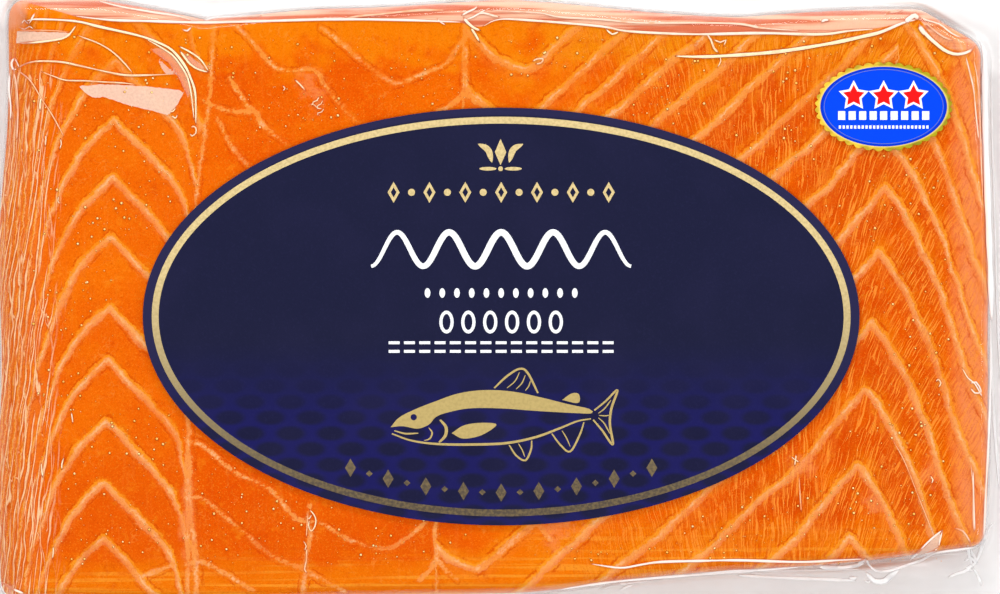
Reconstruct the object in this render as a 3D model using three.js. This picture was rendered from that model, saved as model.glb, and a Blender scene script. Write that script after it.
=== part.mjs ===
// A vacuum pack of cold-smoked salmon: one trimmed piece of fillet drawn tight in clear film, with a
// flat sealed margin all round, a large oval label and a small scalloped sticker.
// Millimetres, +Z up. The origin is under the middle of the pack, on the surface it lies on.

import * as THREE from "three";

// ---- driving dimensions -------------------------------------------------------------------------

const PACK = {
  length: 200, // the film's outer size, seal margin included
  width: 130,
  cornerSharpness: 18, // exponent of the superellipse, so the corners are only just rounded
  height: 18, // from the table to the flat top
  marginThickness: 0.4,
  marginHeight: 3.4, // middle of the sealed margin above the table
  cornerLift: 1.3, // how much higher the margin runs at the pack's corners
};

// The sealed margin ripples: depth of the waves, and their lengths along X and Y.
const RIPPLE = { depth: 0.7, alongX: 107, alongY: 75 };

// The trimmed fillet seen from above, anticlockwise: corner points and their radii.
const FILLET = [
  { x: -86.6, y: -52.9, radius: 4 },
  { x: -20, y: -52.3, radius: 60 },
  { x: 8, y: -50.9, radius: 60 },
  { x: 85.8, y: -43.6, radius: 3 },
  { x: 87.2, y: -13, radius: 60 },
  { x: 85.6, y: 45, radius: 5 },
  { x: 74.5, y: 51.0, radius: 6 },
  { x: 43, y: 49.8, radius: 60 },
  { x: 2, y: 52.4, radius: 40 },
  { x: -30, y: 51.4, radius: 60 },
  { x: -50.3, y: 48.8, radius: 3 }, // the film bites into the far edge here
  { x: -69, y: 52.9, radius: 12 },
  { x: -84.6, y: 53.1, radius: 4 },
  { x: -86.5, y: 6, radius: 60 },
];

const OUTLINE_STEP = 4.2; // spacing of the points along the straight stretches
const ARC_POINTS = 5; // points on each rounded corner
// How far the cut edges stray from straight, and the lengths of those waves along X and Y.
const WANDER = { depth: 0.35, alongX: 56, alongY: 44 };

// How far the top rounds over, as a multiple of the plain profile: the thin belly edge on the left
// slopes away more than the cut ones.
const GENTLE = { left: 2.0, far: 0.8, right: 0.65, near: 0.6 };

// Folds of spare film that run out from the fillet's corners to the corners of the pack: their height
// at the fillet, and their width as an angle seen from the middle of the pack.
const EAR = { height: 4.2, spread: 0.11 };
// Where the film stands off as a low tent along the near edge, right of the middle.
const TENT = { from: 12, to: 78, fadeIn: 12, fadeOut: 8, rise: 2.6 };

const LABEL = { x: 1.4, y: -2.9, halfLength: 62.3, halfWidth: 36.3, thickness: 0.3, segments: 96 };

const STICKER = {
  x: 67.9,
  y: 33.6,
  halfLength: 11.5,
  halfWidth: 7.35,
  thickness: 0.3,
  scallops: 40,
  scallopDepth: 0.45,
  pointsPerScallop: 6,
};

// ---- materials ----------------------------------------------------------------------------------

const salmonInFilm = new THREE.MeshStandardMaterial({ color: 0xf56f0f, roughness: 0.25, metalness: 0 });
const labelPaper = new THREE.MeshStandardMaterial({ color: 0x232350, roughness: 0.5, metalness: 0 });
const stickerPaper = new THREE.MeshStandardMaterial({ color: 0x0a55f0, roughness: 0.4, metalness: 0 });

// ---- outlines -----------------------------------------------------------------------------------

const smooth = (t) => THREE.MathUtils.smoothstep(t, 0, 1);
const wave = (along, length, shift) => Math.sin((2 * Math.PI * along) / length + shift);
const bell = (distance, width) => Math.exp(-((distance / width) ** 2));

// The fillet's outline moved inward by an amount that can differ from side to side, with its corners
// rounded. Every such ring has the same number of points, so rings can be joined point to point.
function ringPoints(inset, gentle) {
  const corners = FILLET.map((corner) => new THREE.Vector2(corner.x, corner.y));
  const count = corners.length;
  const sides = corners.map((from, i) => {
    const along = corners[(i + 1) % count].clone().sub(from).normalize();
    const outward = new THREE.Vector2(along.y, -along.x);
    const moved = from.clone().addScaledVector(outward, -inset * (gentle ? gentleness(outward) : 1));
    return { along, outward, moved, length: corners[(i + 1) % count].distanceTo(from) };
  });
  const rings = corners.map((_, i) => {
    const [a, b] = [sides[(i + count - 1) % count], sides[i]];
    const here = crossing(a, b);
    const radius = Math.max(FILLET[i].radius - inset, 0.35 * FILLET[i].radius);
    const cut = radius * Math.tan(a.along.angleTo(b.along) / 2);
    const start = here.clone().addScaledVector(a.along, -cut);
    const finish = here.clone().addScaledVector(b.along, cut);
    return { start, finish, arc: new THREE.QuadraticBezierCurve(start, here, finish) };
  });
  const points = [];
  rings.forEach((ring, i) => {
    const [a, b] = [sides[(i + count - 1) % count], sides[i]];
    for (let k = 0; k < ARC_POINTS; k++) {
      const share = k / (ARC_POINTS - 1);
      const outward = a.outward.clone().lerp(b.outward, share).normalize();
      points.push({ at: ring.arc.getPoint(share), outward });
    }
    const steps = Math.max(1, Math.round(b.length / OUTLINE_STEP));
    const next = rings[(i + 1) % count].start;
    for (let k = 1; k < steps; k++) {
      points.push({ at: ring.finish.clone().lerp(next, k / steps), outward: b.outward });
    }
  });
  return points;
}

// Where two moved sides cross.
function crossing(a, b) {
  const gap = b.moved.clone().sub(a.moved);
  const reach = gap.cross(b.along) / a.along.cross(b.along);
  return a.moved.clone().addScaledVector(a.along, reach);
}

// Angle of a point as if the pack were square, so that corners of both outlines face each other.
const squareAngle = (p) => Math.atan2(p.y / (PACK.width / 2), p.x / (PACK.length / 2));

// The outer edge of the film at that angle.
function packEdge(angle) {
  const n = PACK.cornerSharpness;
  const reach = (Math.abs(Math.cos(angle)) ** n + Math.abs(Math.sin(angle)) ** n) ** (-1 / n);
  return new THREE.Vector2(
    (PACK.length / 2) * reach * Math.cos(angle),
    (PACK.width / 2) * reach * Math.sin(angle),
  );
}

// The cut edges wander a little.
function wander(at, outward) {
  const endWave = wave(at.x, WANDER.alongX, 1) * Math.abs(outward.y);
  const sideWave = wave(at.y, WANDER.alongY, 0) * Math.abs(outward.x);
  return WANDER.depth * (endWave + sideWave);
}

// How gently the top rounds over where the edge faces a given way.
function gentleness(outward) {
  const side = outward.x > 0 ? GENTLE.right : GENTLE.left;
  const end = outward.y > 0 ? GENTLE.far : GENTLE.near;
  return side * outward.x ** 2 + end * outward.y ** 2;
}

// ---- the pack -----------------------------------------------------------------------------------

// The film's profile from the underside, out round the margin and back over the top.
// inset: distance inside the fillet's outline. out: share of the way from there to the pack's edge.
// ear and tent: how much of the corner folds and of the stand-off along the near edge it takes.
const half = PACK.marginThickness / 2;
const PROFILE = [
  { inset: 5.0, z: 0 },
  { inset: 1.6, z: 0.4 },
  { inset: 0.3, z: 1.8 },
  { out: 0.12, margin: -half },
  { out: 0.55, margin: -half },
  { out: 1.0, margin: -half },
  { out: 1.0, margin: half },
  { out: 0.55, margin: half, ear: 0.25, tent: 0.12 },
  { out: 0.3, margin: half + 0.3, ear: 0.75, tent: 0.45 },
  { out: 0.12, margin: half + 1.5, ear: 1.0, tent: 1.0 },
  { out: 0.03, z: 8.2 },
  { inset: 0.2, z: 13.2, gentle: true },
  { inset: 1.0, z: PACK.height - 1.7, gentle: true },
  { inset: 2.3, z: PACK.height - 0.5, gentle: true },
  { inset: 4.2, z: PACK.height, gentle: true },
];

// The sealed margin isn't flat: it ripples along its length and lifts towards the corners.
function marginHeight(at, angle, out) {
  const ripple = RIPPLE.depth * (wave(at.x, RIPPLE.alongX, 0.6) + wave(at.y, RIPPLE.alongY, -0.8));
  const lift = PACK.cornerLift * Math.abs(Math.sin(2 * angle)) ** 3;
  return PACK.marginHeight + out * (ripple + lift);
}

function profileRing(step) {
  return ringPoints(step.inset ?? 0, step.gentle).map(({ at, outward }) => {
    const cut = at.clone().addScaledVector(outward, wander(at, outward));
    if (!step.out) return [cut.x, cut.y, step.z];
    const angle = squareAngle(at);
    const p = cut.lerp(packEdge(angle), step.out);
    if (step.z) return [p.x, p.y, step.z];
    const offDiagonal = Math.abs((Math.abs(angle) % (Math.PI / 2)) - Math.PI / 4);
    const ear = (step.ear ?? 0) * EAR.height * bell(offDiagonal, EAR.spread);
    const span = smooth((at.x - TENT.from) / TENT.fadeIn) * smooth((TENT.to - at.x) / TENT.fadeOut);
    const tent = outward.y < -0.7 ? (step.tent ?? 0) * TENT.rise * span : 0;
    return [p.x, p.y, marginHeight(p, angle, step.out) + step.margin + ear + tent];
  });
}

function packGeometry() {
  const rings = PROFILE.map(profileRing);
  const count = rings[0].length;
  const middles = [[0, 0, 0], [0, 0, PACK.height]];
  const positions = [middles[0], ...rings.flat(), middles[1]].flat();
  const last = 1 + (rings.length - 1) * count;
  const faces = [];
  for (let i = 0; i < count; i++) {
    const j = (i + 1) % count;
    faces.push(0, 1 + j, 1 + i);
    for (let low = 1; low < last; low += count) {
      faces.push(low + i, low + j, low + count + j, low + i, low + count + j, low + count + i);
    }
    faces.push(last + i, last + j, last + count);
  }
  const geometry = new THREE.BufferGeometry();
  geometry.setAttribute("position", new THREE.Float32BufferAttribute(positions, 3));
  geometry.setIndex(faces);
  geometry.computeVertexNormals();
  return geometry;
}

// ---- the label and the sticker ------------------------------------------------------------------

const flatPlate = (shape, thickness, segments) =>
  new THREE.ExtrudeGeometry(shape, { depth: thickness, bevelEnabled: false, curveSegments: segments });

function labelShape() {
  const shape = new THREE.Shape();
  shape.absellipse(0, 0, LABEL.halfLength, LABEL.halfWidth, 0, 2 * Math.PI, false, 0);
  return shape;
}

// An oval whose edge is cut in small round scallops.
function stickerShape() {
  const total = STICKER.scallops * STICKER.pointsPerScallop;
  const outline = Array.from({ length: total }, (_, i) => {
    const angle = (2 * Math.PI * i) / total;
    const bump = STICKER.scallopDepth * Math.abs(Math.sin((STICKER.scallops * angle) / 2));
    return new THREE.Vector2(
      (STICKER.halfLength + bump) * Math.cos(angle),
      (STICKER.halfWidth + bump) * Math.sin(angle),
    );
  });
  return new THREE.Shape(outline);
}

// ---- the object ---------------------------------------------------------------------------------

const group = new THREE.Group();

const pack = new THREE.Mesh(packGeometry(), salmonInFilm);
pack.name = "pack";
group.add(pack);

const label = new THREE.Mesh(flatPlate(labelShape(), LABEL.thickness, LABEL.segments), labelPaper);
label.name = "label";
label.position.set(LABEL.x, LABEL.y, PACK.height);
group.add(label);

const sticker = new THREE.Mesh(flatPlate(stickerShape(), STICKER.thickness, 1), stickerPaper);
sticker.name = "sticker";
sticker.position.set(STICKER.x, STICKER.y, PACK.height);
group.add(sticker);

export default group;
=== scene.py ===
import math
import bmesh
import bpy
import numpy as np
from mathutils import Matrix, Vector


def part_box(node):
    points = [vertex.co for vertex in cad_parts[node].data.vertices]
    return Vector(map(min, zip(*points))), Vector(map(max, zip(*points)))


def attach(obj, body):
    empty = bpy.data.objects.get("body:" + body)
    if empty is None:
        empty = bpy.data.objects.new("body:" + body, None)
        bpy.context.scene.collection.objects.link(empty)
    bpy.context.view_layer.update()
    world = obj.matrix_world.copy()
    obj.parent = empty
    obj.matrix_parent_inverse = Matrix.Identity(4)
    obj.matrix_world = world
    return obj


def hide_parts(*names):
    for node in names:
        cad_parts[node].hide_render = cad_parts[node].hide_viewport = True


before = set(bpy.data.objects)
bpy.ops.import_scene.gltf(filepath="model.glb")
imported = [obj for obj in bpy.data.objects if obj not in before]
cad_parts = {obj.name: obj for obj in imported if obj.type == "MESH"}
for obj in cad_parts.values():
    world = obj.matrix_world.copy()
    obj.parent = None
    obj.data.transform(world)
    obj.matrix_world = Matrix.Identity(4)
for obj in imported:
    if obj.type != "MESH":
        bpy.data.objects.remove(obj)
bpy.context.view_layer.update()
mm = 0.001
packLow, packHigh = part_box("pack")
topZ = packHigh.z / mm  # the flat top that the label lies on
print("frame loaded", [round(v / mm, 1) for v in (*packLow, *packHigh)])


# small helpers

def followPoints(x, points, blur=0.0):
    # straight pieces through the points, rounded off at the kinks by blur
    xs, ys = np.array(points, float).T
    shifts = np.linspace(-blur, blur, 5) if blur else [0.0]
    return sum(np.interp(x + shift, xs, ys) for shift in shifts) / len(shifts)


def smooth(low, high, x):
    t = np.clip((x - low) / (high - low), 0, 1)
    return t * t * (3 - 2 * t)


def swell(x, y, size, seed):
    # soft uneven rise and fall between about -1 and 1, with bumps of the given size
    random = np.random.default_rng(seed)
    total = np.zeros_like(np.asarray(x, float))
    for _ in range(9):
        heading, phase = random.uniform(0, 2 * math.pi, 2)
        length = size * random.uniform(0.7, 2.0)
        along = x * math.cos(heading) + y * math.sin(heading)
        total += np.sin(2 * math.pi * along / length + phase)
    return total / 3.2


def smoothPath(points, spacing):
    # a curve through the points, as evenly spaced points
    p = np.array(points, float)
    p = np.vstack([2 * p[0] - p[1], p, 2 * p[-1] - p[-2]])
    out = []
    for a, b, c, d in zip(p[:-3], p[1:-2], p[2:-1], p[3:]):
        count = max(2, int(np.hypot(*(c - b)[:2]) / spacing))
        t = np.linspace(0, 1, count, endpoint=False)[:, None]
        out.append(0.5 * (2 * b + (c - a) * t + (2 * a - 5 * b + 4 * c - d) * t**2
                          + (3 * b - a - 3 * c + d) * t**3))
    return np.vstack(out + [p[-2:-1]])


def makeMesh(name, points, faces, smoothShading=True):
    mesh = bpy.data.meshes.new(name)
    mesh.from_pydata((np.asarray(points) * mm).tolist(), [], faces)
    mesh.validate()
    mesh.polygons.foreach_set("use_smooth", [smoothShading] * len(mesh.polygons))
    piece = bpy.data.objects.new(name, mesh)
    bpy.context.scene.collection.objects.link(piece)
    return piece


def setAttribute(piece, name, values):
    attribute = piece.data.attributes.new(name, "FLOAT", "POINT")
    attribute.data.foreach_set("value", np.asarray(values, np.float32))


# A closed skin: a fine grid on top, rings down its sides, and a grid half as fine below.
def closedSkin(name, top, rings, under):
    def border(indices):
        return np.concatenate([indices[0, :-1], indices[:-1, -1], indices[-1, :0:-1], indices[:0:-1, 0]])

    topIndex = np.arange(top[..., 0].size).reshape(top.shape[:2])
    quads = [np.stack([topIndex[:-1, :-1], topIndex[:-1, 1:], topIndex[1:, 1:], topIndex[1:, :-1]], -1)]
    upper = border(topIndex)
    used = topIndex.size
    for ring in rings:
        lower = used + np.arange(len(ring))
        quads.append(np.stack([lower, np.roll(lower, -1), np.roll(upper, -1), upper], -1))
        upper = lower
        used += len(ring)
    underIndex = used + np.arange(under[..., 0].size).reshape(under.shape[:2])
    quads.append(np.stack([underIndex[:-1, :-1], underIndex[1:, :-1],
                           underIndex[1:, 1:], underIndex[:-1, 1:]], -1))
    low = border(underIndex)
    lowNext = np.roll(low, -1)
    here, middle, ahead = upper[0::2], upper[1::2], np.roll(upper[0::2], -1)
    triangles = np.concatenate([np.stack(t, -1) for t in
                                ((low, lowNext, middle), (low, middle, here), (lowNext, ahead, middle))])
    points = np.vstack([top.reshape(-1, 3), *rings, under.reshape(-1, 3)])
    faces = np.concatenate([q.reshape(-1, 4) for q in quads]).tolist() + triangles.tolist()
    return makeMesh(name, points, faces), points


# shader maths

class Wire:
    # a socket, or a number that varies over a surface, that Python's operators work on
    def __init__(self, paint, socket):
        self.paint = paint
        self.socket = socket

    def __add__(self, other):
        return self.paint.maths("ADD", self, other)

    def __sub__(self, other):
        return self.paint.maths("SUBTRACT", self, other)

    def __rsub__(self, other):
        return self.paint.maths("SUBTRACT", other, self)

    def __mul__(self, other):
        return self.paint.maths("MULTIPLY", self, other)

    def __truediv__(self, other):
        return self.paint.maths("DIVIDE", self, other)

    def __rtruediv__(self, other):
        return self.paint.maths("DIVIDE", other, self)

    def __pow__(self, other):
        return self.paint.maths("POWER", self, other)

    def __rpow__(self, other):
        return self.paint.maths("POWER", other, self)

    def __abs__(self):
        return self.paint.maths("ABSOLUTE", self)

    __radd__ = __add__
    __rmul__ = __mul__

    def split(self):
        parts = self.paint.node("ShaderNodeSeparateXYZ", {}, {"Vector": self})
        return [Wire(self.paint, out) for out in parts.outputs]


def addNode(tree, kind, settings, inputs):
    # settings go first; an input takes a value, or a socket to link
    made = tree.nodes.new(kind)
    for key, value in settings.items():
        setattr(made, key, value)
    for key, value in inputs.items():
        if isinstance(value, Wire):
            value = value.socket
        if isinstance(value, bpy.types.NodeSocket):
            tree.links.new(value, made.inputs[key])
        else:
            made.inputs[key].default_value = value
    return made


class Paint:
    def __init__(self, name):
        self.material = bpy.data.materials.new(name)
        self.material.use_nodes = True
        self.tree = self.material.node_tree
        self.tree.nodes.clear()

    def node(self, kind, settings, inputs):
        return addNode(self.tree, kind, settings, inputs)

    def wire(self, kind, settings, inputs, output=0):
        return Wire(self, self.node(kind, settings, inputs).outputs[output])

    def maths(self, operation, *values):
        return self.wire("ShaderNodeMath", {"operation": operation}, dict(enumerate(values)))

    def highest(self, first, *rest):
        for value in rest:
            first = self.maths("MAXIMUM", first, value)
        return first

    def lowest(self, first, *rest):
        for value in rest:
            first = self.maths("MINIMUM", first, value)
        return first

    def ramp(self, value, low, high):
        # 0 below low, 1 above high, smooth between; low may be the higher
        inputs = {"Value": value, "From Min": low, "From Max": high}
        return self.wire("ShaderNodeMapRange", {"interpolation_type": "SMOOTHSTEP"}, inputs)

    def pick(self, factor, first, second):
        # numbers: first where factor is 0, second where it is 1
        return first + (second - first) * factor

    def blend(self, factor, first, second):
        # colours
        return self.wire("ShaderNodeMix", {"data_type": "RGBA"}, {0: factor, 6: first, 7: second}, 2)

    def coats(self, colour, *layers):
        # lays colours over one another, each as strong as its share
        for share, over in layers:
            colour = self.blend(share, colour, over)
        return colour

    def reach(self, x, y):
        return self.maths("SQRT", x * x + y * y)

    def place(self):
        return self.wire("ShaderNodeTexCoord", {}, {}, "Object")

    def attribute(self, name):
        return self.wire("ShaderNodeAttribute", {"attribute_name": name}, {}, "Fac")

    def vector(self, x, y, z):
        return self.wire("ShaderNodeCombineXYZ", {}, {0: x, 1: y, 2: z})

    def noise(self, vector, scale, detail=2.0, roughness=0.5):
        inputs = {"Vector": vector, "Scale": scale, "Detail": detail, "Roughness": roughness}
        return self.wire("ShaderNodeTexNoise", {}, inputs, "Fac")

    def bump(self, height, distance, strength=1.0):
        inputs = {"Height": height, "Distance": distance, "Strength": strength}
        return self.wire("ShaderNodeBump", {}, inputs)

    def principled(self, inputs):
        return self.wire("ShaderNodeBsdfPrincipled", {}, inputs)

    def finish(self, surface):
        self.node("ShaderNodeOutputMaterial", {}, {"Surface": surface})
        return self.material


def tint(red, green, blue):
    # a screen colour from 0 to 255 as the linear colour that a shader takes
    def linear(c):
        c /= 255
        return c / 12.92 if c <= 0.04045 else ((c + 0.055) / 1.055) ** 2.4
    return (linear(red), linear(green), linear(blue), 1.0)


# the fillet's outline, as in the solid

fillet = {
    "corners": [(-86.6, -52.9, 4), (-20, -52.3, 60), (8, -50.9, 60), (85.8, -43.6, 3), (87.2, -13, 60),
                (85.6, 45, 5), (74.5, 51.0, 6), (43, 49.8, 60), (2, 52.4, 40), (-30, 51.4, 60),
                (-50.3, 48.8, 3), (-69, 52.9, 12), (-84.6, 53.1, 4), (-86.5, 6, 60)],
    "step": 0.8,
    "wander": (0.35, 56, 44),  # depth, wave length along X and along Y
    "gentle": {"left": 2.0, "far": 0.8, "right": 0.65, "near": 0.6},
}


class Edge:
    def __init__(self, corners, step):
        corner = np.array([c[:2] for c in corners], float)
        radii = [c[2] for c in corners]
        along = np.roll(corner, -1, 0) - corner
        along /= np.linalg.norm(along, axis=1)[:, None]
        points = []
        for i, here in enumerate(corner):
            before, after = along[i - 1], along[i]
            cut = radii[i] * math.tan(math.acos(np.clip(before @ after, -1, 1)) / 2)
            start, finish = here - before * cut, here + after * cut
            t = np.linspace(0, 1, 9)[:, None]
            points.append((1 - t) ** 2 * start + 2 * t * (1 - t) * here + t**2 * finish)
        loop = np.vstack(points + [points[0][:1]])
        length = np.hypot(*np.diff(loop, axis=0).T).sum()
        self.points = resample(loop, int(length / step) + 1)[:-1]
        heading = np.roll(self.points, -1, 0) - np.roll(self.points, 1, 0)
        heading /= np.linalg.norm(heading, axis=1)[:, None]
        self.outward = np.column_stack([heading[:, 1], -heading[:, 0]])
        x, y = self.points.T
        depth, lengthX, lengthY = fillet["wander"]
        waves = (np.sin(2 * math.pi * x / lengthX + 1) * abs(self.outward[:, 1])
                 + np.sin(2 * math.pi * y / lengthY) * abs(self.outward[:, 0]))
        self.points = self.points + self.outward * (depth * waves)[:, None]

    def measure(self, x, y):
        # how far each place is outside the outline, and which way the nearest edge faces
        place = np.column_stack([np.ravel(x), np.ravel(y)])
        a = self.points
        ab = np.roll(a, -1, 0) - a
        size = (ab**2).sum(1)
        far = np.empty(len(place))
        facing = np.empty((len(place), 2))
        for i in range(0, len(place), 3000):
            p = place[i:i + 3000]
            dx, dy = p[:, :1] - a[:, 0], p[:, 1:] - a[:, 1]
            t = np.clip((dx * ab[:, 0] + dy * ab[:, 1]) / size, 0, 1)
            gap = (dx - t * ab[:, 0]) ** 2 + (dy - t * ab[:, 1]) ** 2
            k = gap.argmin(1)
            rows = np.arange(len(p))
            share = t[rows, k][:, None]
            normal = self.outward[k] * (1 - share) + self.outward[(k + 1) % len(a)] * share
            nearest = a[k] + ab[k] * share
            side = np.sign(((p - nearest) * normal).sum(1))
            far[i:i + 3000] = np.sqrt(gap[rows, k]) * side
            facing[i:i + 3000] = normal
        shape = np.shape(x)
        return far.reshape(shape), facing[:, 0].reshape(shape), facing[:, 1].reshape(shape)


def resample(points, count):
    steps = np.hypot(*np.diff(points[:, :2], axis=0).T)
    along = np.concatenate([[0], np.cumsum(steps)])
    at = np.linspace(0, along[-1], count)
    return np.column_stack([np.interp(at, along, column) for column in points.T])


def gentleness(facingX, facingY):
    gentle = fillet["gentle"]
    side = np.where(facingX > 0, gentle["right"], gentle["left"])
    end = np.where(facingY > 0, gentle["far"], gentle["near"])
    return side * facingX**2 + end * facingY**2


edge = Edge(fillet["corners"], fillet["step"])


# the film's form

bag = {
    "halfLength": 100, "halfWidth": 65, "cornerX": 13, "cornerY": 8.5,
    "marginHeight": 3.4, "marginThickness": 0.4,
    "ripple": (0.7, 107, 75),  # depth, wave length along X and along Y
    "cornerLift": 1.3,
    "roundOver": 4.2, "shoulder": 4.8,  # how far in the top rounds over, and how far down by the edge
    "wallReach": 0.64, "wallCurve": 0.66,  # how fast the film drops to the margin beside the fish
    "settle": 14,  # how far out the margin has its full ripples
    # folds of spare film at the corners and the tent at the near edge; at is how far out each is highest
    "ear": {"height": 4.2, "spread": 0.11, "at": 2.5, "width": 4},
    "tent": {"from": 12, "to": 78, "fadeIn": 12, "fadeOut": 8, "rise": 2.6, "at": 2.0, "width": 3},
    # grid lines: place and the spacing from there on
    "gridX": [(-100, 0.7), (-90, 0.36), (-76, 0.45), (-45, 0.95), (72, 0.36), (92, 0.7), (100, 0)],
    "gridY": [(-65, 0.7), (-55, 0.36), (-42, 0.85), (36, 0.36), (55, 0.7), (65, 0)],
    # painted glare: whitish patches where the film stands off, drawn as haze in place of the lamp's
    # reflection: how white, and the outline of each
    "glarePatches": [
        (0.8, [(-72.0, 37.2), (-67.8, 37.5), (-61.2, 37.2), (-54.6, 36.5), (-53.9, 36.0), (-55.0, 33.7),
         (-56.2, 32.7), (-55.1, 31.5), (-56.9, 32.3), (-62.6, 33.7), (-67.8, 35.3), (-69.6, 35.1),
         (-71.1, 36.2)]),
        (0.78, [(-83.0, 46.8), (-73.4, 46.4), (-73.6, 45.9), (-75.3, 45.4), (-79.1, 44.8), (-83.1, 44.8)]),
        (0.12, [(74.4, 48.0), (77.9, 47.3), (80.3, 45.5), (84.0, 45.5), (84.2, 44.7), (82.9, 43.5),
         (80.5, 43.5), (78.4, 44.3), (76.9, 45.2)]),
        (0.25, [(-59.7, 43.5), (-57.9, 43.8), (-55.8, 42.8), (-53.4, 39.6), (-52.5, 36.2), (-52.9, 34.8),
         (-54.3, 37.9), (-56.5, 41.4)]),
        (0.7, [(73.5, -45.2), (74.4, -43.7), (77.9, -40.2), (77.5, -43.0), (75.6, -44.2)]),
        (0.35, [(-54.5, 43.5), (-52.7, 42.4), (-50.5, 40.7), (-49.8, 39.6), (-51.3, 40.2), (-53.1, 41.2)]),
        (0.6, [(-58.3, 42.1), (-56.5, 40.3), (-55.1, 39.3), (-56.9, 39.3), (-57.9, 40.7)]),
        (0.4, [(67.1, -46.6), (71.6, -44.9), (75.1, -44.7), (71.6, -45.8), (68.2, -46.8)]),
    ],
}


def marginHeight(x, y, share):
    depth, lengthX, lengthY = bag["ripple"]
    ripple = depth * (np.sin(2 * math.pi * x / lengthX + 0.6) + np.sin(2 * math.pi * y / lengthY - 0.8))
    angle = np.arctan2(y / bag["halfWidth"], x / bag["halfLength"])
    lift = bag["cornerLift"] * abs(np.sin(2 * angle)) ** 3
    return bag["marginHeight"] + share * (ripple + lift)


def filmTop(x, y, reach=None):
    # height of the upper sheet, in mm
    far, facingX, facingY = edge.measure(x, y) if reach is None else reach
    gentle = gentleness(facingX, facingY)
    inner = np.clip(-far / (bag["roundOver"] * gentle), 0, 1)
    onTop = topZ - bag["shoulder"] * (1 - inner) ** 3
    outside = np.maximum(far, 0)
    share = np.clip(outside / bag["settle"], 0, 1)
    margin = marginHeight(x, y, share) + bag["marginThickness"] / 2
    fall = np.exp(-(outside / bag["wallReach"]) ** bag["wallCurve"])
    wall = margin + (topZ - bag["shoulder"] - margin) * fall
    angle = np.arctan2(y / bag["halfWidth"], x / bag["halfLength"])
    offDiagonal = abs(abs(angle) % (math.pi / 2) - math.pi / 4)
    ear, tent = bag["ear"], bag["tent"]
    eared = ear["height"] * np.exp(-(offDiagonal / ear["spread"]) ** 2)
    eared *= np.exp(-((outside - ear["at"]) / ear["width"]) ** 2)
    span = smooth(0, 1, (x - tent["from"]) / tent["fadeIn"])
    span = span * smooth(0, 1, (tent["to"] - x) / tent["fadeOut"])
    lifted = tent["rise"] * span * np.exp(-((outside - tent["at"]) / tent["width"]) ** 2)
    lifted = lifted * (facingY < -0.7)  # only along the near edge
    return np.where(far < 0, onTop, np.minimum(wall + (eared + lifted) * smooth(0, 1.5, outside), onTop))


def filmUnder(x, y):
    far, _, _ = edge.measure(x, y)
    share = np.clip(far / bag["settle"], 0, 1)
    margin = marginHeight(x, y, share) - bag["marginThickness"] / 2
    rise = smooth(-5.0, 2.2, far) ** 2.2
    return margin * rise


def gradedLine(stops):
    # places from the first stop to the last; each stop gives the spacing from there on
    places = [stops[0][0]]
    for (low, spacing), (high, _) in zip(stops, stops[1:]):
        count = max(1, round((high - low) / spacing))
        places += list(np.linspace(low, high, count + 1)[1:])
    if len(places) % 2 == 0:
        places.insert(1, (places[0] + places[1]) / 2)
    return np.array(places)


def roundCorners(x, y):
    # squeezes the square corners of a grid into the bag's rounded ones
    rx, ry = bag["cornerX"], bag["cornerY"]
    a = np.clip((abs(x) - (bag["halfLength"] - rx)) / rx, 0, 1)
    b = np.clip((abs(y) - (bag["halfWidth"] - ry)) / ry, 0, 1)
    newX = np.where(a > 0, np.sign(x) * (bag["halfLength"] - rx + rx * a * np.sqrt(1 - b**2 / 2)), x)
    newY = np.where(b > 0, np.sign(y) * (bag["halfWidth"] - ry + ry * b * np.sqrt(1 - a**2 / 2)), y)
    return newX, newY


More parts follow.
